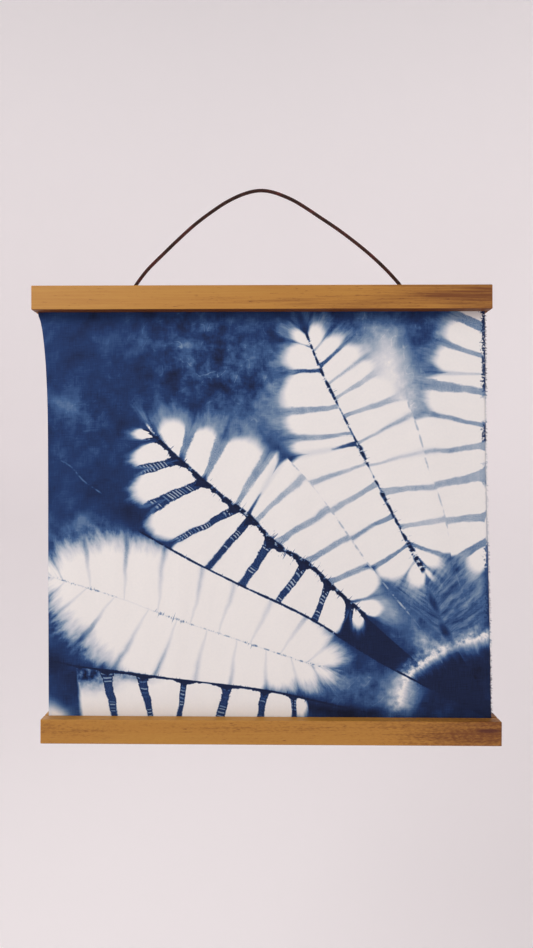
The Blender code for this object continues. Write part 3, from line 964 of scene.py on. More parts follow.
class DyeTree:
    """The node groups that lay one half leaf's or one seam's dye over a tone."""

    LAP = 0.0011  # how far a half leaf is laid past its own seam

    def fan_group(self) -> bpy.types.NodeTree:
        """Build the group for half a leaf.

        Returns:
            A group that takes the tone under it, the fan's stored vectors, its look
            and three shared noises, and gives the tone with its lobes and ribs.
        """
        tree = bpy.data.node_groups.new("Half leaf", "ShaderNodeTree")
        for name in ("Under", "Warp", "Grain", "Fine"):
            tree.interface.new_socket(name, in_out="INPUT", socket_type="NodeSocketFloat")
        for name in Layer.NOTHING:
            tree.interface.new_socket(name.title(), in_out="INPUT", socket_type="NodeSocketVector")
        tree.interface.new_socket("Tone", in_out="OUTPUT", socket_type="NodeSocketFloat")
        recipe = Recipe(tree)
        given = recipe.node("NodeGroupInput").outputs
        number, away, pitch = recipe.split(given["Ribs"])
        free, feather, bound = recipe.split(given["Rim"])
        width, tone, run = recipe.split(given["Mark"])
        rounding, pale, softness = recipe.split(given["Shape"])
        rungs, root_reach, root_tone = recipe.split(given["Root"])
        late, halo, streaks = recipe.split(given["Edge"])

        # Streaks run out along the ribs: broad ones, and fine ones across them
        warped = recipe.multiply_add(recipe.subtract(given["Warp"], 0.5), 0.13, number)
        spot = recipe.vector(recipe.multiply(warped, 5.0), recipe.multiply(run, 60.0))
        drawn = recipe.subtract(recipe.noise(spot, 1.0, detail=4.0, roughness=0.6, flat=True), 0.5)

        share = recipe.math("FRACT", warped)
        off_middle = recipe.size(recipe.multiply_add(share, 2.0, -1.0))
        away_from_rib = recipe.multiply(recipe.multiply(recipe.subtract(1.0, off_middle), 0.5), pitch)
        rib_seed = recipe.math("ROUND", warped)

        # Each rib is widest where it leaves the seam, and its sides wander
        root_bulge = recipe.multiply_add(recipe.math("EXPONENT", recipe.multiply(away, -250.0)), 0.9, 1.0)
        rough_width = recipe.multiply(
            recipe.multiply(width, root_bulge),
            recipe.multiply_add(given["Grain"], 0.5, recipe.multiply_add(drawn, 0.9, 0.75)),
        )
        soft = recipe.multiply(softness, recipe.multiply_add(run, 40.0, 1.0))
        body = recipe.fade(
            away_from_rib, recipe.add(rough_width, soft), recipe.subtract(rough_width, soft)
        )
        shown = recipe.fade(run, recipe.multiply(late, 0.4), recipe.multiply_add(late, 1.8, 0.0001))
        body = recipe.multiply(body, recipe.multiply(shown, recipe.fade(width, 0.0, 0.0003)))

        # It is darker at its two sides than in its middle, and grainy
        hem = recipe.fade(recipe.size(recipe.subtract(away_from_rib, rough_width)), 0.0009, 0.0)
        wide = recipe.fade(rough_width, 0.0008, 0.0016)
        uneven = recipe.multiply(recipe.subtract(given["Fine"], 0.5), recipe.multiply_add(tone, -1.5, 2.3))
        speckle = recipe.multiply(
            recipe.add(uneven, 1.0), recipe.multiply_add(recipe.multiply(hem, wide), 0.42, 0.84)
        )
        spell = recipe.noise(
            recipe.vector(recipe.multiply(rib_seed, 3.7), recipe.multiply(run, 85.0)),
            1.0,
            detail=2.0,
            flat=True,
        )
        speckle = recipe.multiply(
            speckle,
            recipe.multiply_add(
                spell, recipe.multiply_add(tone, -1.0, 1.3), recipe.multiply_add(tone, 0.5, 0.35)
            ),
        )
        rib_tone = recipe.multiply(tone, speckle)

        # Undyed threads cross some of it, in short runs
        ladder = recipe.math(
            "SINE",
            recipe.multiply_add(
                given["Warp"], 8.0, recipe.multiply_add(spell, 16.0, recipe.multiply(run, 2200.0))
            ),
        )
        rung = recipe.fade(recipe.multiply_add(given["Fine"], 1.2, ladder), 0.6, 1.4)
        rung = recipe.multiply(
            rung, recipe.fade(away_from_rib, rough_width, recipe.multiply(rough_width, 0.6))
        )
        rung = recipe.multiply(recipe.multiply(rung, rungs), recipe.fade(spell, 0.44, 0.56))
        rib_tone = recipe.multiply(rib_tone, recipe.subtract(1.0, recipe.multiply(rung, 0.75)))

        bow = recipe.power(
            recipe.larger(recipe.subtract(1.0, recipe.multiply(off_middle, off_middle)), 0.0), 0.5
        )
        corner = recipe.multiply(recipe.subtract(1.0, bow), rounding)
        root_reach = recipe.multiply(root_reach, recipe.larger(recipe.multiply_add(drawn, 3.0, 0.8), 0.05))
        root_reach = recipe.multiply_add(recipe.multiply(corner, rungs), 0.36, root_reach)
        root = recipe.fade(
            away, root_reach, recipe.larger(recipe.multiply_add(root_reach, 1.0, -0.0008), 0.0)
        )
        root = recipe.multiply(root, root_tone)
        base = recipe.multiply_add(recipe.subtract(given["Grain"], 0.5), 0.03, pale)
        base = recipe.multiply_add(recipe.multiply(pale, drawn), 1.3, base)
        base = recipe.add(
            base,
            recipe.multiply(recipe.fade(away_from_rib, recipe.multiply_add(run, 0.10, 0.001), 0.0), 0.07),
        )
        inside = recipe.between(body, base, recipe.larger(rib_tone, base))
        inside = recipe.larger(inside, root)

        edge = recipe.subtract(free, corner)
        edge = recipe.multiply_add(recipe.multiply(drawn, streaks), recipe.multiply(feather, 1.1), edge)
        white = recipe.power(recipe.fade(edge, recipe.multiply(feather, -0.6), feather), 0.8)
        within = recipe.fade(
            recipe.multiply_add(recipe.subtract(given["Fine"], 0.5), 0.0008, bound), -0.0008, 0.0002
        )
        own_side = recipe.fade(away, -self.LAP, -self.LAP / 3)
        white = recipe.multiply(white, recipe.multiply(within, own_side))

        # Past the lobes' ends the dye is thinner, in a streaky halo
        spread = recipe.add(halo, 0.0001)
        haze = recipe.fade(
            recipe.multiply_add(drawn, recipe.multiply(spread, 0.85), edge),
            recipe.multiply(spread, -1.0),
            0.004,
        )
        haze = recipe.multiply(
            haze, recipe.multiply(recipe.fade(bound, 0.0, 0.009), recipe.fade(spread, 0.001, 0.012))
        )
        haze = recipe.multiply(haze, recipe.multiply(own_side, recipe.fade(away, 0.0, 0.008)))
        thinned = recipe.multiply(given["Under"], recipe.subtract(1.0, recipe.multiply(haze, 0.48)))
        laid = recipe.between(white, thinned, inside)
        out = recipe.node("NodeGroupOutput")
        recipe.plug(out.inputs["Tone"], laid)
        return tree

    def line_group(self) -> bpy.types.NodeTree:
        """Build the group for a seam's stitches.

        Returns:
            A group that takes the tone under it, the seam's stored vector, the line's
            sizes and a shared noise, and gives the tone with the stitches.
        """
        tree = bpy.data.node_groups.new("Stitched line", "ShaderNodeTree")
        for name in ("Under", "Fine"):
            tree.interface.new_socket(name, in_out="INPUT", socket_type="NodeSocketFloat")
        for name in ("Line", "Ink", "Run"):
            tree.interface.new_socket(name, in_out="INPUT", socket_type="NodeSocketVector")
        tree.interface.new_socket("Tone", in_out="OUTPUT", socket_type="NodeSocketFloat")
        recipe = Recipe(tree)
        given = recipe.node("NodeGroupInput").outputs
        along, across, strength = recipe.split(given["Line"])
        width, tone, dash = recipe.split(given["Ink"])
        gaps, spike_reach, pale_on_dark = recipe.split(given["Run"])
        away = recipe.size(across)
        dashes = recipe.noise(
            recipe.vector(recipe.divide(along, dash), recipe.multiply(across, 120.0)),
            1.0, detail=2.0, roughness=0.6, flat=True,
        )
        kept = recipe.fade(dashes, recipe.multiply_add(gaps, 0.5, 0.12), recipe.multiply_add(gaps, 0.5, 0.30))
        girth = recipe.multiply(width, recipe.multiply_add(dashes, 1.6, 0.3))
        core = recipe.multiply(
            recipe.fade(away, recipe.add(girth, 0.0006), recipe.multiply(girth, 0.5)), kept
        )
        side = recipe.multiply(recipe.math("SIGN", across), 5.0)
        comb = recipe.noise(
            recipe.vector(recipe.multiply_add(along, 620.0, side), recipe.multiply(away, 45.0)),
            1.0, detail=3.0, roughness=0.7, flat=True,
        )
        reach = recipe.multiply(recipe.power(recipe.fade(comb, 0.46, 0.78), 1.5), spike_reach)
        spikes = recipe.multiply(
            recipe.fade(away, recipe.add(reach, 0.0002), recipe.multiply(reach, 0.4)),
            recipe.fade(reach, 0.0, 0.0008),
        )
        spikes = recipe.multiply(spikes, recipe.multiply_add(given["Fine"], 0.8, 0.3))
        shown = recipe.multiply(recipe.larger(core, spikes), recipe.fade(strength, 0.0, 1.0))
        needle = recipe.fade(
            recipe.multiply_add(recipe.subtract(given["Fine"], 0.5), 0.3, dashes), 0.47, 0.40
        )
        needle = recipe.multiply(
            needle, recipe.fade(away, recipe.multiply(width, 0.9), recipe.multiply(width, 0.2))
        )
        ink = recipe.multiply(tone, recipe.multiply_add(given["Fine"], 0.3, 0.85))
        darker = recipe.between(pale_on_dark, recipe.larger(given["Under"], ink), ink)
        laid = recipe.between(shown, given["Under"], darker)
        bared = recipe.multiply(
            needle, recipe.multiply(recipe.fade(strength, 0.0, 1.0), recipe.fade(width, 0.0010, 0.0022))
        )
        laid = recipe.multiply(laid, recipe.subtract(1.0, recipe.multiply(bared, 0.7)))
        out = recipe.node("NodeGroupOutput")
        recipe.plug(out.inputs["Tone"], laid)
        return tree


@dataclass(frozen=True)
class IndigoCotton:
    """Plain-woven cotton, dyed indigo over the stitched resist."""

    thread_pitch: float = 0.00048
    weave_depth: float = 0.00006
    roughness: float = 0.88

    TONES = (
        (0.00, linear(234, 231, 227)),
        (0.10, linear(205, 207, 212)),
        (0.25, linear(160, 173, 188)),
        (0.42, linear(110, 134, 162)),
        (0.58, linear(63, 93, 137)),
        (0.72, linear(35, 58, 103)),
        (0.86, linear(29, 41, 74)),
        (1.00, linear(22, 27, 48)),
    )
    DARKEST = 1.2  # the tone at the last of those colours

    def ground(self, recipe: Recipe, place: Socket) -> Socket:
        """The tone of the cloth that took the dye freely: clouds, wisps and thin veins."""
        stored = recipe.stored("ground_tone").outputs["Fac"]
        creased = recipe.stored("creased").outputs["Fac"]
        slanted = recipe.node("ShaderNodeMapping", vector_type="TEXTURE")
        recipe.plug(slanted.inputs["Vector"], place)
        slanted.inputs["Rotation"].default_value = (0.0, 0.0, math.radians(50))
        slanted.inputs["Scale"].default_value = (1.0, 0.6, 1.0)
        broad = recipe.noise(slanted.outputs[0], 26.0, detail=3.0, roughness=0.5, flat=True)
        wisps = recipe.noise(place, 75.0, detail=5.0, roughness=0.62, flat=True)
        ridges = recipe.noise(slanted.outputs[0], 34.0, detail=1.6, roughness=0.5, flat=True)
        veins = recipe.fade(recipe.size(recipe.subtract(ridges, 0.5)), 0.013, 0.0)
        veins = recipe.multiply(veins, recipe.fade(wisps, 0.46, 0.62))
        tone = recipe.multiply_add(recipe.subtract(0.5, broad), 0.36, stored)
        tone = recipe.multiply_add(recipe.multiply(recipe.subtract(0.5, wisps), creased), 0.95, tone)
        tone = recipe.multiply_add(recipe.subtract(0.5, wisps), 0.14, tone)
        return recipe.multiply_add(
            recipe.multiply(veins, recipe.multiply_add(creased, 0.9, 0.15)), -0.20, tone
        )

    def depths(self, recipe: Recipe, under: Socket, warp: Socket, fine: Socket) -> Socket:
        """The deepest dye, in a field with sharp edges and in a soft shade."""
        field, shade, _ = recipe.split(recipe.stored("depths").outputs["Vector"])
        inside = recipe.fade(recipe.multiply_add(recipe.subtract(fine, 0.5), 0.0012, field), -0.0004, 0.0007)
        tone = recipe.between(inside, under, recipe.multiply_add(fine, 0.08, 1.06))
        wavering = recipe.multiply(
            shade, recipe.multiply_add(warp, 0.5, recipe.multiply_add(fine, 0.14, 0.66))
        )
        return recipe.larger(tone, wavering)

    def pale_arc(self, recipe: Recipe, place: Socket, under: Socket) -> Socket:
        """The feathered pale arc at the lower right, where a thread lay, and the veils by it."""
        blots = recipe.noise(place, 170.0, detail=4.0, roughness=0.56, flat=True)
        _, shade, veil = recipe.split(recipe.stored("depths").outputs["Vector"])
        veiled = recipe.multiply(veil, recipe.multiply_add(recipe.subtract(blots, 0.5), 1.8, 1.0))
        tone = recipe.multiply(under, recipe.subtract(1.0, recipe.smaller(recipe.larger(veiled, 0.0), 0.9)))
        tone = recipe.larger(tone, recipe.multiply(veiled, -1.0))
        along, across, strength = recipe.split(recipe.stored("arc_line").outputs["Vector"])
        spot = recipe.vector(recipe.multiply(along, 260.0), recipe.multiply(across, 60.0))
        streak = recipe.noise(spot, 1.0, detail=4.0, roughness=0.6, flat=True)
        off = recipe.size(recipe.multiply_add(recipe.subtract(blots, 0.5), 0.008, across))
        glow = recipe.fade(off, recipe.multiply_add(streak, 0.018, 0.006), 0.0)
        core = recipe.fade(off, recipe.multiply_add(streak, 0.014, -0.0025), 0.0)
        shown = recipe.multiply_add(recipe.power(glow, 1.4), 0.50, recipe.multiply(core, 0.38))
        shown = recipe.multiply(shown, recipe.multiply_add(blots, 2.2, -0.02))
        shown = recipe.multiply(shown, recipe.multiply_add(shade, -0.55, 1.0))
        shown = recipe.multiply(shown, recipe.fade(strength, 0.0, 1.0))
        return recipe.multiply(tone, recipe.subtract(1.0, recipe.smaller(shown, 0.97)))

    def selvedge(self, recipe: Recipe, under: Socket, grain: Socket, fine: Socket) -> Socket:
        """The darker strip along the right edge, where the stitching puckered it."""
        margin = recipe.stored("selvedge_margin").outputs["Fac"]
        dark = recipe.stored("selvedge_tone").outputs["Fac"]
        wander = recipe.multiply_add(grain, 0.0130, recipe.multiply_add(fine, 0.0030, -0.0062))
        strip = recipe.fade(margin, recipe.add(wander, 0.0010), wander)
        return recipe.between(
            recipe.multiply(strip, recipe.fade(dark, 0.1, 0.7)), under, recipe.larger(under, dark)
        )

    def build(self) -> bpy.types.Material:
        """Make the material.

        Returns:
            It reads the numbers that the cloth's mesh stores.
        """
        material, recipe, shader = new_material("Indigo cotton")
        place_in_space = recipe.node("ShaderNodeTexCoord").outputs["Object"]
        x, _, z = recipe.split(place_in_space)
        place = recipe.vector(x, z)
        warp = recipe.noise(place, 45.0, detail=2.0, flat=True)
        grain = recipe.noise(place, 520.0, detail=3.0, roughness=0.6, flat=True)
        fine = recipe.noise(place, 1100.0, detail=3.0, roughness=0.7, flat=True)

        groups = DyeTree()
        half_leaf = groups.fan_group()
        stitched_line = groups.line_group()
        tone = self.ground(recipe, place)
        noises = {"Warp": warp, "Grain": grain, "Fine": fine}
        for layer in LAYERS:
            vectors = {name.title(): f"{layer.name}_{name}" for name in Layer.NOTHING}
            tone = self.lay(recipe, half_leaf, {"Under": tone, **noises}, vectors)
            if layer.under_depths:
                tone = self.depths(recipe, tone, warp, fine)
        tone = self.pale_arc(recipe, place, tone)
        vectors = {"Line": "line", "Ink": "line_ink", "Run": "line_run"}
        tone = self.lay(recipe, stitched_line, {"Under": tone, "Fine": fine}, vectors)
        tone = self.selvedge(recipe, tone, grain, fine)

        slubs_across = recipe.noise(
            recipe.vector(recipe.multiply(x, 90.0), recipe.multiply(z, 2100.0)), 1.0, detail=2.0, flat=True
        )
        slubs_down = recipe.noise(
            recipe.vector(recipe.multiply(x, 2100.0), recipe.multiply(z, 90.0)), 1.0, detail=2.0, flat=True
        )
        slubs = recipe.subtract(recipe.add(slubs_across, slubs_down), 1.0)
        tone = recipe.multiply(tone, recipe.multiply_add(slubs, 0.16, 1.0))
        colour = recipe.ramp(recipe.divide(tone, self.DARKEST), self.TONES)
        recipe.plug(shader.inputs["Base Color"], colour)

        turn = math.pi / self.thread_pitch
        threads = recipe.multiply(
            recipe.math("SINE", recipe.multiply(x, turn)), recipe.math("SINE", recipe.multiply(z, turn))
        )
        height = recipe.multiply_add(threads, 0.35, recipe.multiply_add(slubs, 0.6, 0.5))
        recipe.plug(shader.inputs["Normal"], recipe.relief(height, self.weave_depth))
        rough = recipe.multiply_add(slubs, 0.12, self.roughness)
        recipe.plug(shader.inputs["Roughness"], rough)
        shader.inputs["Specular IOR Level"].default_value = 0.1
        shader.inputs["Sheen Weight"].default_value = 0.02
        shader.inputs["Sheen Roughness"].default_value = 0.6
        return material

    @staticmethod
    def lay(
        recipe: Recipe,
        group: bpy.types.NodeTree,
        values: dict[str, Socket],
        vectors: dict[str, str],
    ) -> Socket:
        """Lay one group's dye over the tone under it.

        Args:
            recipe: The material's.
            group: Draws the dye.
            values: The group's inputs by name, the tone under it among them.
            vectors: The stored vectors' names by the group's inputs.

        Returns:
            The new tone.
        """
        stored = {socket: recipe.stored(name) for socket, name in vectors.items()}
        made = recipe.node("ShaderNodeGroup", node_tree=group)
        for name, value in values.items():
            recipe.plug(made.inputs[name], value)
        for socket, node in stored.items():
            recipe.plug(made.inputs[socket], node.outputs["Vector"])
        return made.outputs["Tone"]


@dataclass(frozen=True)
class EdgeRow:
    """Where the cloth's left and right edges are at one height."""

    height: float
    left: float
    right: float


@dataclass(frozen=True)
class Fold:
    """A low ridge in the cloth, or a trough if its rise is below nought."""

    start: Point
    end: Point
    half_width: float
    rise: float


@dataclass
class DyedCloth:
    """The hung cloth, from its top edge in the upper bar to its foot in the lower one."""

    flat_width: float = 0.375
    thickness: float = 0.0005
    slat_height: float = 0.020
    edge_inset: float = 0.002
    top_bar: Point = (0.0025, -0.0928)
    top_tilt: float = math.radians(0.15)
    bottom_bar: Point = (0.0101, -0.4516)
    bottom_tilt: float = math.radians(-0.33)
    columns: int = 208
    rows: int = 212
    middle_y: float = -0.0054

    EDGES = (
        EdgeRow(height=-0.0840, left=-0.1856, right=0.1892),
        EdgeRow(height=-0.1035, left=-0.1851, right=0.1893),
        EdgeRow(height=-0.1095, left=-0.1834, right=0.1894),
        EdgeRow(height=-0.1178, left=-0.1817, right=0.1895),
        EdgeRow(height=-0.1303, left=-0.1802, right=0.1896),
        EdgeRow(height=-0.1500, left=-0.1786, right=0.1898),
        EdgeRow(height=-0.1850, left=-0.1772, right=0.1899),
        EdgeRow(height=-0.2350, left=-0.1768, right=0.1903),
        EdgeRow(height=-0.3000, left=-0.1767, right=0.1918),
        EdgeRow(height=-0.3700, left=-0.1765, right=0.1934),
        EdgeRow(height=-0.4600, left=-0.1762, right=0.1950),
    )
    FOLDS = (
        Fold(start=(-0.150, -0.120), end=(-0.157, -0.430), half_width=0.020, rise=0.0009),
        Fold(start=(-0.105, -0.250), end=(-0.110, -0.430), half_width=0.014, rise=-0.0006),
        Fold(start=(-0.064, -0.290), end=(-0.072, -0.432), half_width=0.012, rise=0.0006),
        Fold(start=(-0.020, -0.130), end=(-0.034, -0.425), half_width=0.026, rise=-0.0006),
        Fold(start=(0.036, -0.150), end=(0.020, -0.420), half_width=0.020, rise=0.0007),
        Fold(start=(0.086, -0.120), end=(0.090, -0.380), half_width=0.022, rise=-0.0005),
        Fold(start=(0.142, -0.125), end=(0.150, -0.425), half_width=0.022, rise=0.0009),
    )
    # How dark the stitched selvedge is, from the upper bar down: height and tone
    SELVEDGE_TONES = (
        (-0.100, 1.00), (-0.165, 0.95), (-0.172, 0.55), (-0.178, 0.10), (-0.192, 0.05), (-0.198, 0.95),
        (-0.210, 0.95), (-0.214, 0.10), (-0.226, 0.15), (-0.230, 0.40), (-0.238, 0.20), (-0.246, 0.55),
        (-0.252, 0.10), (-0.290, 0.20), (-0.300, 0.70), (-0.320, 0.80), (-0.360, 0.95), (-0.372, 0.30),
        (-0.384, 0.60), (-0.392, 1.00), (-0.450, 1.05),
    )

    def cut_edge(self, x: np.ndarray, top: bool) -> np.ndarray:
        """Height of the cloth's cut edge inside a bar, at each x."""
        middle_x, middle_z = self.top_bar if top else self.bottom_bar
        tilt = self.top_tilt if top else self.bottom_tilt
        inward = (self.slat_height / 2 - self.edge_inset) * (1 if top else -1)
        return middle_z + (x - middle_x) * math.tan(tilt) + inward

    def side_edges(self, z: np.ndarray) -> tuple[np.ndarray, np.ndarray]:
        """The left and right x at each height, on smooth curves through EDGES."""
        rows = np.array([(row.height, row.left, row.right) for row in self.EDGES])
        curve = smooth_path(rows, steps=8)[::-1]
        return np.interp(z, curve[:, 0], curve[:, 1]), np.interp(z, curve[:, 0], curve[:, 2])

    def lift(self, x: np.ndarray, z: np.ndarray) -> np.ndarray:
        """How far the folds bring the cloth forward at each place."""
        total = np.zeros_like(x)
        for fold in self.FOLDS:
            start = np.array(fold.start)
            along = np.array(fold.end) - start
            length = float(np.linalg.norm(along))
            share = ((x - start[0]) * along[0] + (z - start[1]) * along[1]) / length**2
            across = np.abs(along[0] * (z - start[1]) - along[1] * (x - start[0])) / length
            fade = np.sin(np.pi * np.clip(share, 0.0, 1.0)) ** 0.7
            total += fold.rise * fade * smooth_step(1.0 - across / fold.half_width)
        return total

    def crumple(self, located: Located) -> np.ndarray:
        """The last of the gathers, small ripples that cross each stitched line."""
        total = np.zeros(len(located[UPPER.name][0]))
        for line in LINES:
            stored = line.measure(located)
            along, across = stored[:, 0], np.abs(stored[:, 1])
            shown = smooth_step(stored[:, 2]) * np.exp(-((across / 0.007) ** 2))
            ripple = np.sin(along * 2 * np.pi / 0.0093 + 1.7 * np.sin(along * 2 * np.pi / 0.031))
            total += shown * (0.00012 * ripple - 0.00010 * np.exp(-((across / 0.0025) ** 2)))
        return total

    def grid(self) -> tuple[np.ndarray, Located]:
        """The points of the cloth's middle surface, row by row from its foot.

        Returns:
            The points, and where they lie from each seam.
        """
        across, upward = np.meshgrid(np.linspace(0, 1, self.columns + 1), np.linspace(0, 1, self.rows + 1))
        middle = np.full_like(across, (self.top_bar[0] + self.bottom_bar[0]) / 2)
        low, high = self.cut_edge(middle, top=False), self.cut_edge(middle, top=True)
        left, right = self.side_edges(low + upward * (high - low))
        x = left + across * (right - left)
        z = self.cut_edge(x, top=False) * (1 - upward) + self.cut_edge(x, top=True) * upward
        places = np.stack([x.ravel(), z.ravel()], axis=1)
        located = {seam.name: seam.locate(places) for seam in SEAMS}
        clear = smooth_step(
            (z - self.bottom_bar[1] - 0.012) / 0.02
        ) * smooth_step((self.top_bar[1] - 0.012 - z) / 0.02)
        y = self.middle_y - self.lift(x, z) - self.crumple(located).reshape(x.shape) * clear
        return np.stack([x.ravel(), y.ravel(), z.ravel()], axis=1), located

    def mesh(self) -> bpy.types.Mesh:
        """The cloth's middle surface as a mesh, with what its dye is drawn from."""
        points, located = self.grid()
        wide = self.columns + 1
        corner = (np.arange(self.rows)[:, None] * wide + np.arange(self.columns)[None, :]).ravel()
        faces = np.stack([corner, corner + 1, corner + wide + 1, corner + wide], axis=1)
        mesh = bpy.data.meshes.new("cloth_sheet")
        mesh.from_pydata(points.tolist(), [], faces.tolist())
        places = points[:, [0, 2]]
        for layer in LAYERS:
            for name, values in layer.measure(places, located).items():
                self.store(mesh, f"{layer.name}_{name}", values)
        for name, values in measure_lines(LINES, located).items():
            self.store(mesh, name, values)
        self.store(mesh, "depths", measure_depths(places, located))
        self.store(mesh, "arc_line", Line(ARC, width=0.0, tone=0.0, fade=0.012).measure(located))
        tone = np.full(len(places), GROUND_TONE)
        for cloud in CLOUDS:
            tone = cloud.add_to(tone, places)
        self.store(mesh, "ground_tone", tone)
        creased = np.zeros(len(places))
        for cloud in CREASED:
            creased = cloud.add_to(creased, places)
        self.store(mesh, "creased", np.clip(creased, 0.0, 1.0))
        heights, tones = np.array(self.SELVEDGE_TONES[::-1]).T
        self.store(mesh, "selvedge_tone", np.interp(places[:, 1], heights, tones))
        _, right = self.side_edges(places[:, 1])
        self.store(mesh, "selvedge_margin", right - places[:, 0])
        mesh.shade_smooth()
        return mesh

    @staticmethod
    def store(mesh: bpy.types.Mesh, name: str, values: np.ndarray) -> None:
        """Store a number or a vector for each of the mesh's points."""
        single = values.ndim == 1
        layer = mesh.attributes.new(name, "FLOAT" if single else "FLOAT_VECTOR", "POINT")
        layer.data.foreach_set("value" if single else "vector", values.astype(np.float32).ravel())

    def build(self) -> bpy.types.Object:
        """Returns:
            The cloth's object.
        """
        cloth = bpy.data.objects.new("dyed_cloth", self.mesh())
        bpy.context.scene.collection.objects.link(cloth)
        cloth.data.materials.append(IndigoCotton().build())
        body = cloth.modifiers.new("Cloth thickness", "SOLIDIFY")
        body.thickness = self.thickness
        body.offset = 0.0
        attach(cloth, BODY)
        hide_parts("cloth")
        return cloth


@dataclass(frozen=True)
class BarWood:
    """Oiled hardwood with its grain along the bar, with painted shade on its downward faces and towards its
    right end.

    Attributes:
        name: The material's name.
        seed: Shifts the grain, so that no two slats match.
        fleck: How strongly short marks cross the grain.
        left_shade: How much darker the left end is.
        contrast: How strongly the grain shows.
        streak: Middle x and z of a dark reddish streak, or None.
    """

    name: str
    seed: float
    fleck: float = 0.2
    left_shade: float = 0.0
    contrast: float = 1.5
    streak: Optional[Point] = None

    LIGHT = linear(180, 130, 54)
    MIDDLE = linear(172, 119, 47)
    DARK = linear(112, 61, 14)
    STREAK = linear(74, 22, 10)

    def build(self) -> bpy.types.Material:
        """Make the material on the slat's own coordinates."""
        material, recipe, shader = new_material(self.name)
        x, y, z = recipe.split(recipe.node("ShaderNodeTexCoord").outputs["Object"])
        shifted = recipe.add(x, self.seed)

        bend = recipe.noise(
            recipe.vector(recipe.multiply(shifted, 9.0), recipe.multiply(z, 60.0), recipe.multiply(y, 60.0)),
            1.0,
            detail=2.0,
        )
        grain_place = recipe.vector(
            recipe.multiply(shifted, 14.0),
            recipe.multiply_add(bend, 1.8, recipe.multiply(z, 520.0)),
            recipe.multiply(y, 520.0),
        )
        grain = recipe.noise(grain_place, 1.0, detail=5.0, roughness=0.62)
        fibre_place = recipe.vector(
            recipe.multiply(shifted, 120.0), recipe.multiply(z, 2600.0), recipe.multiply(y, 2600.0)
        )
        fibres = recipe.noise(fibre_place, 1.0, detail=2.0, roughness=0.6)
        broad = recipe.noise(
            recipe.vector(recipe.multiply(shifted, 7.0), recipe.multiply(z, 90.0), recipe.multiply(y, 90.0)),
            1.0,
            detail=2.0,
        )
        pores = recipe.fade(
            recipe.noise(
                recipe.vector(
                    recipe.multiply(shifted, 160.0), recipe.multiply(z, 1900.0), recipe.multiply(y, 1900.0)
                ),
                1.0,
            ),
            0.62,
            0.74,
        )
        flecks = recipe.noise(
            recipe.vector(
                recipe.multiply(shifted, 330.0), recipe.multiply(z, 800.0), recipe.multiply(y, 800.0)
            ),
            1.0,
            detail=3.0,
        )

        dark = recipe.multiply_add(recipe.subtract(grain, 0.5), self.contrast, 0.38)
        dark = recipe.multiply_add(recipe.subtract(broad, 0.5), 0.9, dark)
        # Darker towards the right end: partly the wood's own change along the plank, partly painted shade
        # away from the light at the left.
        dark = recipe.multiply_add(x, 0.5, dark)
        dark = recipe.add(recipe.multiply(recipe.fade(x, 0.07, 0.20), 0.40), dark)
        dark = recipe.add(recipe.multiply(recipe.fade(x, -0.08, -0.18), self.left_shade), dark)
        dark = recipe.multiply_add(recipe.subtract(flecks, 0.5), self.fleck, dark)
        dark = recipe.multiply_add(pores, 0.45, dark)
        # Faces that point down are made much darker: painted shade under the slats.
        _, _, facing_up = recipe.split(recipe.node("ShaderNodeNewGeometry").outputs["Normal"])
        dark = recipe.add(recipe.multiply(recipe.fade(facing_up, -0.2, -0.8), 0.9), dark)
        colour = recipe.ramp(dark, ((0.0, self.LIGHT), (0.5, self.MIDDLE), (1.0, self.DARK)))
        if self.streak:
            from_x = recipe.divide(recipe.subtract(x, self.streak[0]), 0.0105)
            from_z = recipe.divide(
                recipe.subtract(recipe.multiply_add(bend, 0.002, z), self.streak[1] + 0.001), 0.0016
            )
            away = recipe.add(recipe.multiply(from_x, from_x), recipe.multiply(from_z, from_z))
            colour = recipe.tint(
                recipe.multiply(recipe.fade(away, 1.6, 0.1), 0.8), colour, (*self.STREAK, 1.0)
            )
        recipe.plug(shader.inputs["Base Color"], colour)
        height = recipe.subtract(
            recipe.multiply_add(fibres, 0.5, recipe.multiply(grain, 0.4)), recipe.multiply(pores, 0.7)
        )
        recipe.plug(shader.inputs["Normal"], recipe.relief(height, 0.00008))
        recipe.plug(shader.inputs["Roughness"], recipe.multiply_add(fibres, 0.22, 0.40))
        shader.inputs["Specular IOR Level"].default_value = 0.4
        return material


@dataclass
class HangerBars:
    """The four slats, which keep their solids and get their wood."""

    WOODS = {
        "top_bar_front": BarWood("Top front wood", seed=0.31, fleck=0.15),
        "top_bar_back": BarWood("Top back wood", seed=1.83, fleck=0.2),
        "bottom_bar_front": BarWood(
            "Bottom front wood", seed=3.17, fleck=0.8, left_shade=0.22, contrast=0.8, streak=(0.190, -0.4500)
        ),
        "bottom_bar_back": BarWood("Bottom back wood", seed=4.41, fleck=0.5),
    }

    def build(self, nodes: dict[str, bpy.types.Object]) -> None:
        """Dress the slats among the frame's nodes."""
        for name, wood in self.WOODS.items():
            slat = nodes[name]
            slat.data.materials.clear()
            slat.data.materials.append(wood.build())
            LOG.info("%s: %s", name, wood.name)


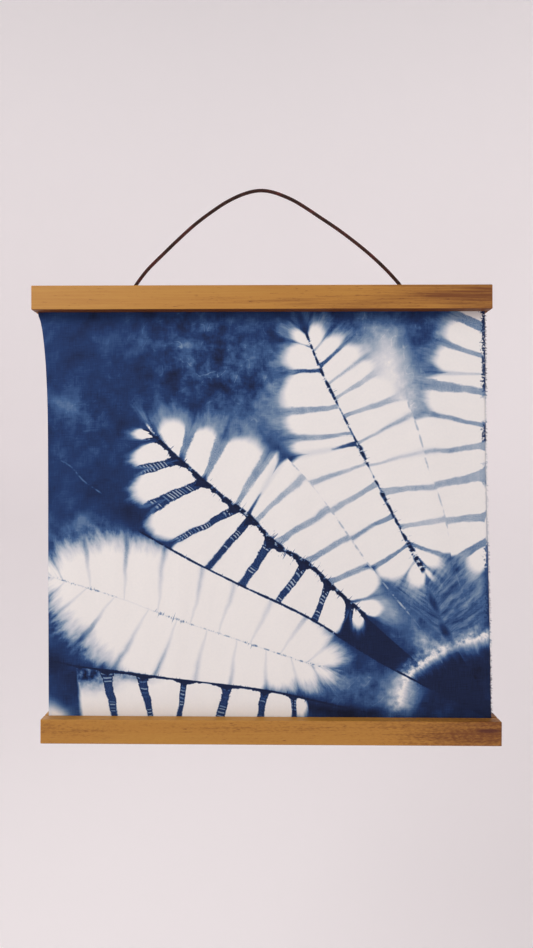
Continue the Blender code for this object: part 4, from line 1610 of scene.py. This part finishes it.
@dataclass(frozen=True)
class CordFibre:
    """Waxed dark brown yarn, each strand a little lighter or redder than the next."""

    BROWNS = (
        (0.0, linear(36, 22, 17)),
        (0.45, linear(62, 35, 28)),
        (1.0, linear(110, 46, 44)),
    )

    def build(self) -> bpy.types.Material:
        """Make the material from what the cord's mesh stores."""
        material, recipe, shader = new_material("Brown cord fibre")
        place = recipe.node("ShaderNodeTexCoord").outputs["Object"]
        twist = recipe.noise(place, 2600.0, detail=3.0, roughness=0.6)
        patches = recipe.noise(place, 90.0, detail=2.0)
        strand = recipe.stored("strand").outputs["Fac"]
        mixed = recipe.multiply_add(
            strand, 0.2, recipe.multiply_add(patches, 1.6, recipe.multiply_add(twist, 0.5, -0.72))
        )
        recipe.plug(shader.inputs["Base Color"], recipe.ramp(mixed, self.BROWNS))
        recipe.plug(shader.inputs["Normal"], recipe.relief(twist, 0.00006))
        recipe.plug(shader.inputs["Roughness"], recipe.multiply_add(twist, 0.3, 0.45))
        shader.inputs["Specular IOR Level"].default_value = 0.25
        return material


class ShapeTree:
    """Builds a Geometry Nodes tree with named inputs and applies it to an object."""

    def __init__(self, name: str) -> None:
        """Start a tree that takes and gives geometry."""
        self.tree = bpy.data.node_groups.new(name, "GeometryNodeTree")
        self.recipe = Recipe(self.tree)
        self.ids: dict[str, str] = {}
        self.tree.interface.new_socket("Geometry", in_out="INPUT", socket_type="NodeSocketGeometry")
        self.tree.interface.new_socket("Geometry", in_out="OUTPUT", socket_type="NodeSocketGeometry")

    def inputs(self, **kinds: str) -> bpy.types.bpy_prop_collection:
        """Add named inputs, each with its socket's kind, and give the input node's sockets."""
        for name, kind in kinds.items():
            made = self.tree.interface.new_socket(name, in_out="INPUT", socket_type=f"NodeSocket{kind}")
            self.ids[name] = made.identifier
        return self.recipe.node("NodeGroupInput").outputs

    def finish(self, geometry: Socket, material: Socket) -> None:
        """End the tree with real meshes in one material."""
        real = self.recipe.node("GeometryNodeRealizeInstances")
        dressed = self.recipe.node("GeometryNodeSetMaterial")
        out = self.recipe.node("NodeGroupOutput")
        self.recipe.plug(real.inputs[0], geometry)
        self.recipe.plug(dressed.inputs["Geometry"], real.outputs[0])
        self.recipe.plug(dressed.inputs["Material"], material)
        self.recipe.plug(out.inputs[0], dressed.outputs[0])

    def apply(self, name: str, guide: bpy.types.Object, **values: Any) -> bpy.types.Object:
        """Run the tree on a guide and keep the result as a plain mesh.

        Args:
            name: What the new object is called.
            guide: The object that the tree starts from, which is then removed.
            **values: The tree's inputs by name.

        Returns:
            The new object, at the origin.
        """
        modifier = guide.modifiers.new(self.tree.name, "NODES")
        modifier.node_group = self.tree
        for given, value in values.items():
            modifier[self.ids[given]] = value
        bpy.context.view_layer.update()
        graph = bpy.context.evaluated_depsgraph_get()
        mesh = bpy.data.meshes.new_from_object(guide.evaluated_get(graph))
        bpy.data.objects.remove(guide)
        made = bpy.data.objects.new(name, mesh)
        bpy.context.scene.collection.objects.link(made)
        return made


def guide_curve(name: str, points: np.ndarray) -> bpy.types.Object:
    """A bare polyline through points, one row each, for a tree to start from."""
    data = bpy.data.curves.new(name, "CURVE")
    data.dimensions = "3D"
    spline = data.splines.new("POLY")
    spline.points.add(len(points) - 1)
    for place, point in zip(spline.points, points):
        place.co = (*(float(number) for number in point), 1.0)
    guide = bpy.data.objects.new(name, data)
    bpy.context.scene.collection.objects.link(guide)
    return guide


@dataclass
class HangingCord:
    """The round braided cord, from one socket in the upper bar to the other."""

    diameter: float = 0.003
    socket_depth: float = 0.012
    end_gap: float = 0.0003
    strands: int = 8
    strand_radius: float = 0.00043
    weave_radius: float = 0.00094
    weave_swing: float = 0.00024
    core_radius: float = 0.00095
    lay: float = 0.0105
    step: float = 0.0004

    ROUTE = (
        (-0.1063, -0.0826),
        (-0.1036, -0.0775),
        (-0.0943, -0.0654),
        (-0.0817, -0.0528),
        (-0.0690, -0.0405),
        (-0.0550, -0.0278),
        (-0.0409, -0.0170),
        (-0.0269, -0.0078),
        (-0.0128, -0.0013),
        (0.0000, 0.0015),
        (0.0120, 0.0001),
        (0.0265, -0.0055),
        (0.0376, -0.0118),
        (0.0518, -0.0212),
        (0.0661, -0.0308),
        (0.0803, -0.0414),
        (0.0944, -0.0530),
        (0.1072, -0.0650),
        (0.1180, -0.0768),
        (0.1212, -0.0820),
    )

    def path(self) -> np.ndarray:
        """The cord's middle line, from the bottom of one socket to that of the other."""
        curve = smooth_path(np.array(self.ROUTE), steps=12)
        cloth = DyedCloth
        ends = []
        for mouth_x in (self.ROUTE[0][0], self.ROUTE[-1][0]):
            rise = (mouth_x - cloth.top_bar[0]) * math.tan(cloth.top_tilt)
            top = cloth.top_bar[1] + rise + cloth.slat_height / 2
            ends.append((mouth_x, top - self.socket_depth + self.end_gap))
        flat = np.vstack([ends[0], curve, ends[1]])
        return np.stack([flat[:, 0], np.zeros(len(flat)), flat[:, 1]], axis=1)

    def braid_tree(self) -> ShapeTree:
        """Build the tree that winds strands both ways round the cord's middle line.

        Returns:
            The tree. Each strand is a helix that swings out over the ones it crosses
            and in under the next.
        """
        shape = ShapeTree("Round braid")
        given = shape.inputs(
            Strands="Int", StrandRadius="Float", WeaveRadius="Float", Swing="Float",
            CoreRadius="Float", Lay="Float", Step="Float", Material="Material",
        )
        recipe = shape.recipe
        even = recipe.node("GeometryNodeResampleCurve")
        recipe.plug(even.inputs["Curve"], given["Geometry"])
        even.mode = "LENGTH"
        recipe.plug(even.inputs["Length"], given["Step"])
        copies = recipe.node("GeometryNodeDuplicateElements", domain="SPLINE")
        recipe.plug(copies.inputs["Geometry"], even.outputs[0])
        recipe.plug(copies.inputs["Amount"], given["Strands"])
        index = copies.outputs["Duplicate Index"]

        along = recipe.node("GeometryNodeSplineParameter").outputs["Length"]
        turns = recipe.multiply(recipe.divide(along, given["Lay"]), 2 * math.pi)
        way = recipe.multiply_add(recipe.math("MODULO", index, 2.0), -2.0, 1.0)
        each_way = recipe.multiply(given["Strands"], 0.5)
        start = recipe.multiply(
            recipe.divide(recipe.math("FLOOR", recipe.multiply(index, 0.5)), each_way), 2 * math.pi
        )
        angle = recipe.multiply_add(turns, way, start)
        swing = recipe.multiply(
            recipe.math("COSINE", recipe.multiply(turns, each_way)), recipe.multiply(way, given["Swing"])
        )
        radius = recipe.add(given["WeaveRadius"], swing)

        normal = recipe.node("GeometryNodeInputNormal").outputs[0]
        tangent = recipe.node("GeometryNodeInputTangent").outputs[0]
        side = recipe.node("ShaderNodeVectorMath", operation="CROSS_PRODUCT")
        recipe.plug(side.inputs[0], tangent)
        recipe.plug(side.inputs[1], normal)
        out = recipe.node("ShaderNodeVectorMath", operation="SCALE")
        recipe.plug(out.inputs[0], normal)
        recipe.plug(out.inputs["Scale"], recipe.multiply(recipe.math("COSINE", angle), radius))
        over = recipe.node("ShaderNodeVectorMath", operation="SCALE")
        recipe.plug(over.inputs[0], side.outputs[0])
        recipe.plug(over.inputs["Scale"], recipe.multiply(recipe.math("SINE", angle), radius))
        offset = recipe.node("ShaderNodeVectorMath", operation="ADD")
        recipe.plug(offset.inputs[0], out.outputs[0])
        recipe.plug(offset.inputs[1], over.outputs[0])
        wound = recipe.node("GeometryNodeSetPosition")
        recipe.plug(wound.inputs["Geometry"], copies.outputs["Geometry"])
        recipe.plug(wound.inputs["Offset"], offset.outputs[0])

        strands = self.tube(recipe, wound.outputs[0], given["StrandRadius"], sides=6)
        marked = recipe.node("GeometryNodeStoreNamedAttribute", data_type="FLOAT", domain="POINT")
        recipe.plug(marked.inputs["Geometry"], wound.outputs[0])
        marked.inputs["Name"].default_value = "strand"
        recipe.plug(marked.inputs["Value"], recipe.divide(index, given["Strands"]))
        recipe.plug(strands.inputs[0], marked.outputs[0])
        core = self.tube(recipe, even.outputs[0], given["CoreRadius"], sides=8)
        joined = recipe.node("GeometryNodeJoinGeometry")
        recipe.plug(joined.inputs[0], core.outputs[0])
        recipe.plug(joined.inputs[0], strands.outputs[0])
        smooth = recipe.node("GeometryNodeSetShadeSmooth")
        recipe.plug(smooth.inputs[0], joined.outputs[0])
        shape.finish(smooth.outputs[0], given["Material"])
        return shape

    @staticmethod
    def tube(
        recipe: Recipe,
        curve: Socket,
        radius: Socket,
        sides: int,
    ) -> bpy.types.Node:
        """Add a round capped tube along a curve and give its node."""
        ring = recipe.node("GeometryNodeCurvePrimitiveCircle")
        ring.inputs["Resolution"].default_value = sides
        recipe.plug(ring.inputs["Radius"], radius)
        made = recipe.node("GeometryNodeCurveToMesh")
        recipe.plug(made.inputs[0], curve)
        recipe.plug(made.inputs["Profile Curve"], ring.outputs[0])
        made.inputs["Fill Caps"].default_value = True
        return made

    def build(self) -> bpy.types.Object:
        """Returns:
            The cord's object.
        """
        path = self.path()
        even = spaced_evenly(path, self.diameter / 2)
        cord = self.braid_tree().apply(
            "braided_cord",
            guide_curve("cord_guide", even),
            Strands=self.strands,
            StrandRadius=self.strand_radius,
            WeaveRadius=self.weave_radius,
            Swing=self.weave_swing,
            CoreRadius=self.core_radius,
            Lay=self.lay,
            Step=self.step,
            Material=CordFibre().build(),
        )
        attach(cord, BODY)
        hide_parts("cord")
        return cord


@dataclass(frozen=True)
class FringeYarn:
    """The cut ends of the cross threads, as dark as the cloth beside them."""

    def build(self) -> bpy.types.Material:
        """Make the material from what the fringe's mesh stores."""
        material, recipe, shader = new_material("Fringe yarn")
        place = recipe.node("ShaderNodeTexCoord").outputs["Object"]
        fuzz = recipe.noise(place, 2400.0, detail=2.0)
        tone = recipe.stored("tone").outputs["Fac"]
        varied = recipe.multiply_add(recipe.subtract(fuzz, 0.5), 0.2, tone)
        colour = recipe.ramp(recipe.divide(varied, IndigoCotton.DARKEST), IndigoCotton.TONES)
        recipe.plug(shader.inputs["Base Color"], colour)
        recipe.plug(shader.inputs["Roughness"], recipe.multiply_add(fuzz, 0.1, 0.85))
        recipe.plug(shader.inputs["Normal"], recipe.relief(fuzz, 0.00004))
        shader.inputs["Sheen Weight"].default_value = 0.15
        return material


@dataclass
class SelvedgeFringe:
    """Short tufts of cut thread along the cloth's right edge."""

    pitch: float = 0.0010
    length: float = 0.0016
    thickness: float = 0.00052
    seed: int = 7

    def edge(self, cloth: DyedCloth) -> np.ndarray:
        """Points down the cloth's right edge, between the bars."""
        z = np.linspace(cloth.top_bar[1] - 0.0125, cloth.bottom_bar[1] + 0.0125, 160)
        _, x = cloth.side_edges(z)
        y = cloth.middle_y - cloth.lift(x, z)
        return np.stack([x, y, z], axis=1)

    def tuft_tree(self) -> ShapeTree:
        """Build the tree that sets a bent thread end at each step down a curve.

        Returns:
            The tree. Each end is turned and sized by its own random numbers.
        """
        shape = ShapeTree("Cut thread ends")
        given = shape.inputs(
            Pitch="Float", Length="Float", Thickness="Float", Seed="Int", Material="Material"
        )
        recipe = shape.recipe
        spots = recipe.node("GeometryNodeCurveToPoints", mode="LENGTH")
        recipe.plug(spots.inputs["Curve"], given["Geometry"])
        recipe.plug(spots.inputs["Length"], given["Pitch"])

        arc = recipe.node("GeometryNodeCurveQuadraticBezier")
        arc.inputs["Resolution"].default_value = 4
        recipe.plug(arc.inputs["Start"], recipe.vector(recipe.multiply(given["Length"], -0.4), 0.0, 0.0))
        recipe.plug(
            arc.inputs["Middle"],
            recipe.vector(recipe.multiply(given["Length"], 0.4), 0.0, recipe.multiply(given["Length"], 0.12)),
        )
        recipe.plug(
            arc.inputs["End"],
            recipe.vector(
                given["Length"],
                recipe.multiply(given["Length"], 0.1),
                recipe.multiply(given["Length"], -0.25),
            ),
        )
        thread = HangingCord.tube(recipe, arc.outputs[0], recipe.multiply(given["Thickness"], 0.5), sides=4)

        turn = self.random(recipe, given["Seed"], (-0.5, -0.9, -0.5), (0.5, 0.6, 0.5), salt=1)
        size = self.random(recipe, given["Seed"], (0.35, 0.8, 0.8), (1.15, 1.5, 1.3), salt=2)
        placed = recipe.node("GeometryNodeInstanceOnPoints")
        recipe.plug(placed.inputs["Points"], spots.outputs[0])
        recipe.plug(placed.inputs["Instance"], thread.outputs[0])
        recipe.plug(placed.inputs["Rotation"], turn)
        recipe.plug(placed.inputs["Scale"], size)
        smooth = recipe.node("GeometryNodeSetShadeSmooth")
        marked = recipe.node("GeometryNodeStoreNamedAttribute", data_type="FLOAT", domain="INSTANCE")
        recipe.plug(marked.inputs["Geometry"], placed.outputs[0])
        marked.inputs["Name"].default_value = "tuft"
        one = recipe.node("FunctionNodeRandomValue", data_type="FLOAT")
        recipe.plug(one.inputs["Seed"], given["Seed"])
        recipe.plug(marked.inputs["Value"], one.outputs[1])
        recipe.plug(smooth.inputs[0], marked.outputs[0])
        shape.finish(smooth.outputs[0], given["Material"])
        return shape

    @staticmethod
    def random(
        recipe: Recipe,
        seed: Socket,
        low: Sequence[float],
        high: Sequence[float],
        salt: int,
    ) -> Socket:
        """A fixed random vector for each point, between low and high."""
        made = recipe.node("FunctionNodeRandomValue", data_type="FLOAT_VECTOR")
        made.inputs[0].default_value = low
        made.inputs[1].default_value = high
        recipe.plug(made.inputs["Seed"], recipe.add(seed, float(salt)))
        return made.outputs[0]

    def build(self, cloth: DyedCloth) -> bpy.types.Object:
        """Make the fringe.

        Args:
            cloth: The cloth that it edges.

        Returns:
            The fringe's object.
        """
        fringe = self.tuft_tree().apply(
            "selvedge_fringe",
            guide_curve("fringe_guide", self.edge(cloth)),
            Pitch=self.pitch,
            Length=self.length,
            Thickness=self.thickness,
            Seed=self.seed,
            Material=FringeYarn().build(),
        )
        mesh = fringe.data
        places = np.zeros(len(mesh.vertices) * 3, np.float32)
        mesh.vertices.foreach_get("co", places)
        tuft = np.zeros(len(mesh.vertices), np.float32)
        mesh.attributes["tuft"].data.foreach_get("value", tuft)
        heights, tones = np.array(cloth.SELVEDGE_TONES[::-1]).T
        tone = np.interp(places[2::3], heights, tones)
        cloth.store(mesh, "tone", np.where(tuft < 0.28, tone * 0.15, tone * (0.8 + 0.4 * tuft)))
        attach(fringe, BODY)
        return fringe


@dataclass
class Studio:
    """A pale round room, soft lights and the camera."""

    room_radius: float = 2.4
    room_height: float = 3.2
    sweep: float = 0.9
    below: float = 0.6
    lens: float = 24.0
    distance: float = 0.520
    axis_x: float = 0.0063
    axis_z: float = -0.2385
    front_y: float = -0.0154

    WALL = linear(233, 228, 229)

    def room(self, floor_z: float) -> bpy.types.Object:
        """A round floor that sweeps up into a wall all round."""
        corner = [math.pi / 2 * step / 12 for step in range(13)]
        flat = self.room_radius - self.sweep
        profile = [(0.0, 0.0), (flat * 0.5, 0.0)]
        profile += [(flat + self.sweep * math.sin(a), self.sweep * (1 - math.cos(a))) for a in corner]
        profile.append((self.room_radius, self.room_height))
        sides = 96
        points = []
        for radius, height in profile[1:]:
            for side in range(sides):
                turn = 2 * math.pi * side / sides
                points.append((radius * math.cos(turn), radius * math.sin(turn), floor_z + height))
        middle = len(points)
        points.append((0.0, 0.0, floor_z))
        faces = [(middle, side, (side + 1) % sides) for side in range(sides)]
        for ring in range(len(profile) - 2):
            for side in range(sides):
                a, b = ring * sides + side, ring * sides + (side + 1) % sides
                faces.append((a, a + sides, b + sides, b))
        mesh = bpy.data.meshes.new("studio_room")
        mesh.from_pydata(points, [], faces)
        mesh.shade_smooth()
        room = bpy.data.objects.new("studio_room", mesh)
        bpy.context.scene.collection.objects.link(room)
        material, recipe, shader = new_material("Matt pale paint with painted glow")
        place = recipe.node("ShaderNodeTexCoord").outputs["Object"]
        tint = recipe.noise(place, 1.2, detail=2.0)
        shade = recipe.ramp(tint, ((0.3, self.WALL), (0.7, tuple(c * 0.985 for c in self.WALL))))
        recipe.plug(shader.inputs["Base Color"], shade)
        shader.inputs["Roughness"].default_value = 0.95
        shader.inputs["Specular IOR Level"].default_value = 0.1
        # The paint also glows, more strongly towards the top: a painted glow that lights the room and the
        # object, though it is no lamp.
        _, _, height = recipe.split(place)
        glow = [tuple(share * channel for channel in self.WALL) for share in (0.6, 1.15)]
        recipe.plug(
            shader.inputs["Emission Color"],
            recipe.tint(recipe.fade(height, -1.0, 1.6), *[(*c, 1.0) for c in glow]),
        )
        shader.inputs["Emission Strength"].default_value = 0.30
        mesh.materials.append(material)
        room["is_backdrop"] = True
        return room

    @staticmethod
    def lamp(name: str, place: Triple, aim: Vector, size: float, power: float, colour: Triple) -> None:
        """A soft square light that the camera doesn't see."""
        data = bpy.data.lights.new(name, "AREA")
        data.size = size
        data.energy = power
        data.color = colour
        lamp = bpy.data.objects.new(name, data)
        lamp.location = place
        lamp.rotation_euler = (aim - Vector(place)).to_track_quat("-Z", "Y").to_euler()
        lamp.visible_camera = False
        bpy.context.scene.collection.objects.link(lamp)

    def build(self, low: Vector, high: Vector) -> None:
        """Make the room, lights, sky and camera round a box from low to high."""
        scene = bpy.context.scene
        scene.view_settings.view_transform = "Standard"
        self.room(low.z - self.below)
        middle = (low + high) / 2
        self.lamp("key", (-0.80, -0.90, 0.66), middle, 0.7, 11.4, (1.0, 0.995, 0.975))
        self.lamp("fill", (1.10, -1.00, -0.10), middle, 1.2, 1.6, (0.95, 0.97, 1.0))
        self.lamp("rear", (-0.60, 1.40, 0.80), middle, 1.2, 8.0, (1.0, 0.99, 0.97))
        world = bpy.data.worlds.new("Pale sky")
        world.use_nodes = True
        sky = world.node_tree.nodes["Background"]
        sky.inputs["Color"].default_value = (0.93, 0.93, 0.95, 1.0)
        sky.inputs["Strength"].default_value = 0.22
        scene.world = world

        data = bpy.data.cameras.new("camera")
        data.lens = self.lens
        data.sensor_width = 36.0
        data.clip_start = 0.01
        camera = bpy.data.objects.new("camera", data)
        camera.location = (self.axis_x, self.front_y - self.distance, self.axis_z)
        camera.rotation_euler = (math.pi / 2, 0.0, 0.0)
        scene.collection.objects.link(camera)
        scene.camera = camera


def main() -> None:
    """Dress the frame: studio and camera, cord, cloth, fringe and bars."""
    logging.basicConfig(level=logging.INFO, format="%(name)s: %(message)s")
    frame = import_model()
    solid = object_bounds()
    Studio().build(*solid)
    HangingCord().build()
    sheet = DyedCloth()
    cloth = sheet.build()
    fringe = SelvedgeFringe().build(sheet)
    HangerBars().build(frame["nodes"])


if __name__ == "__main__":
    main()
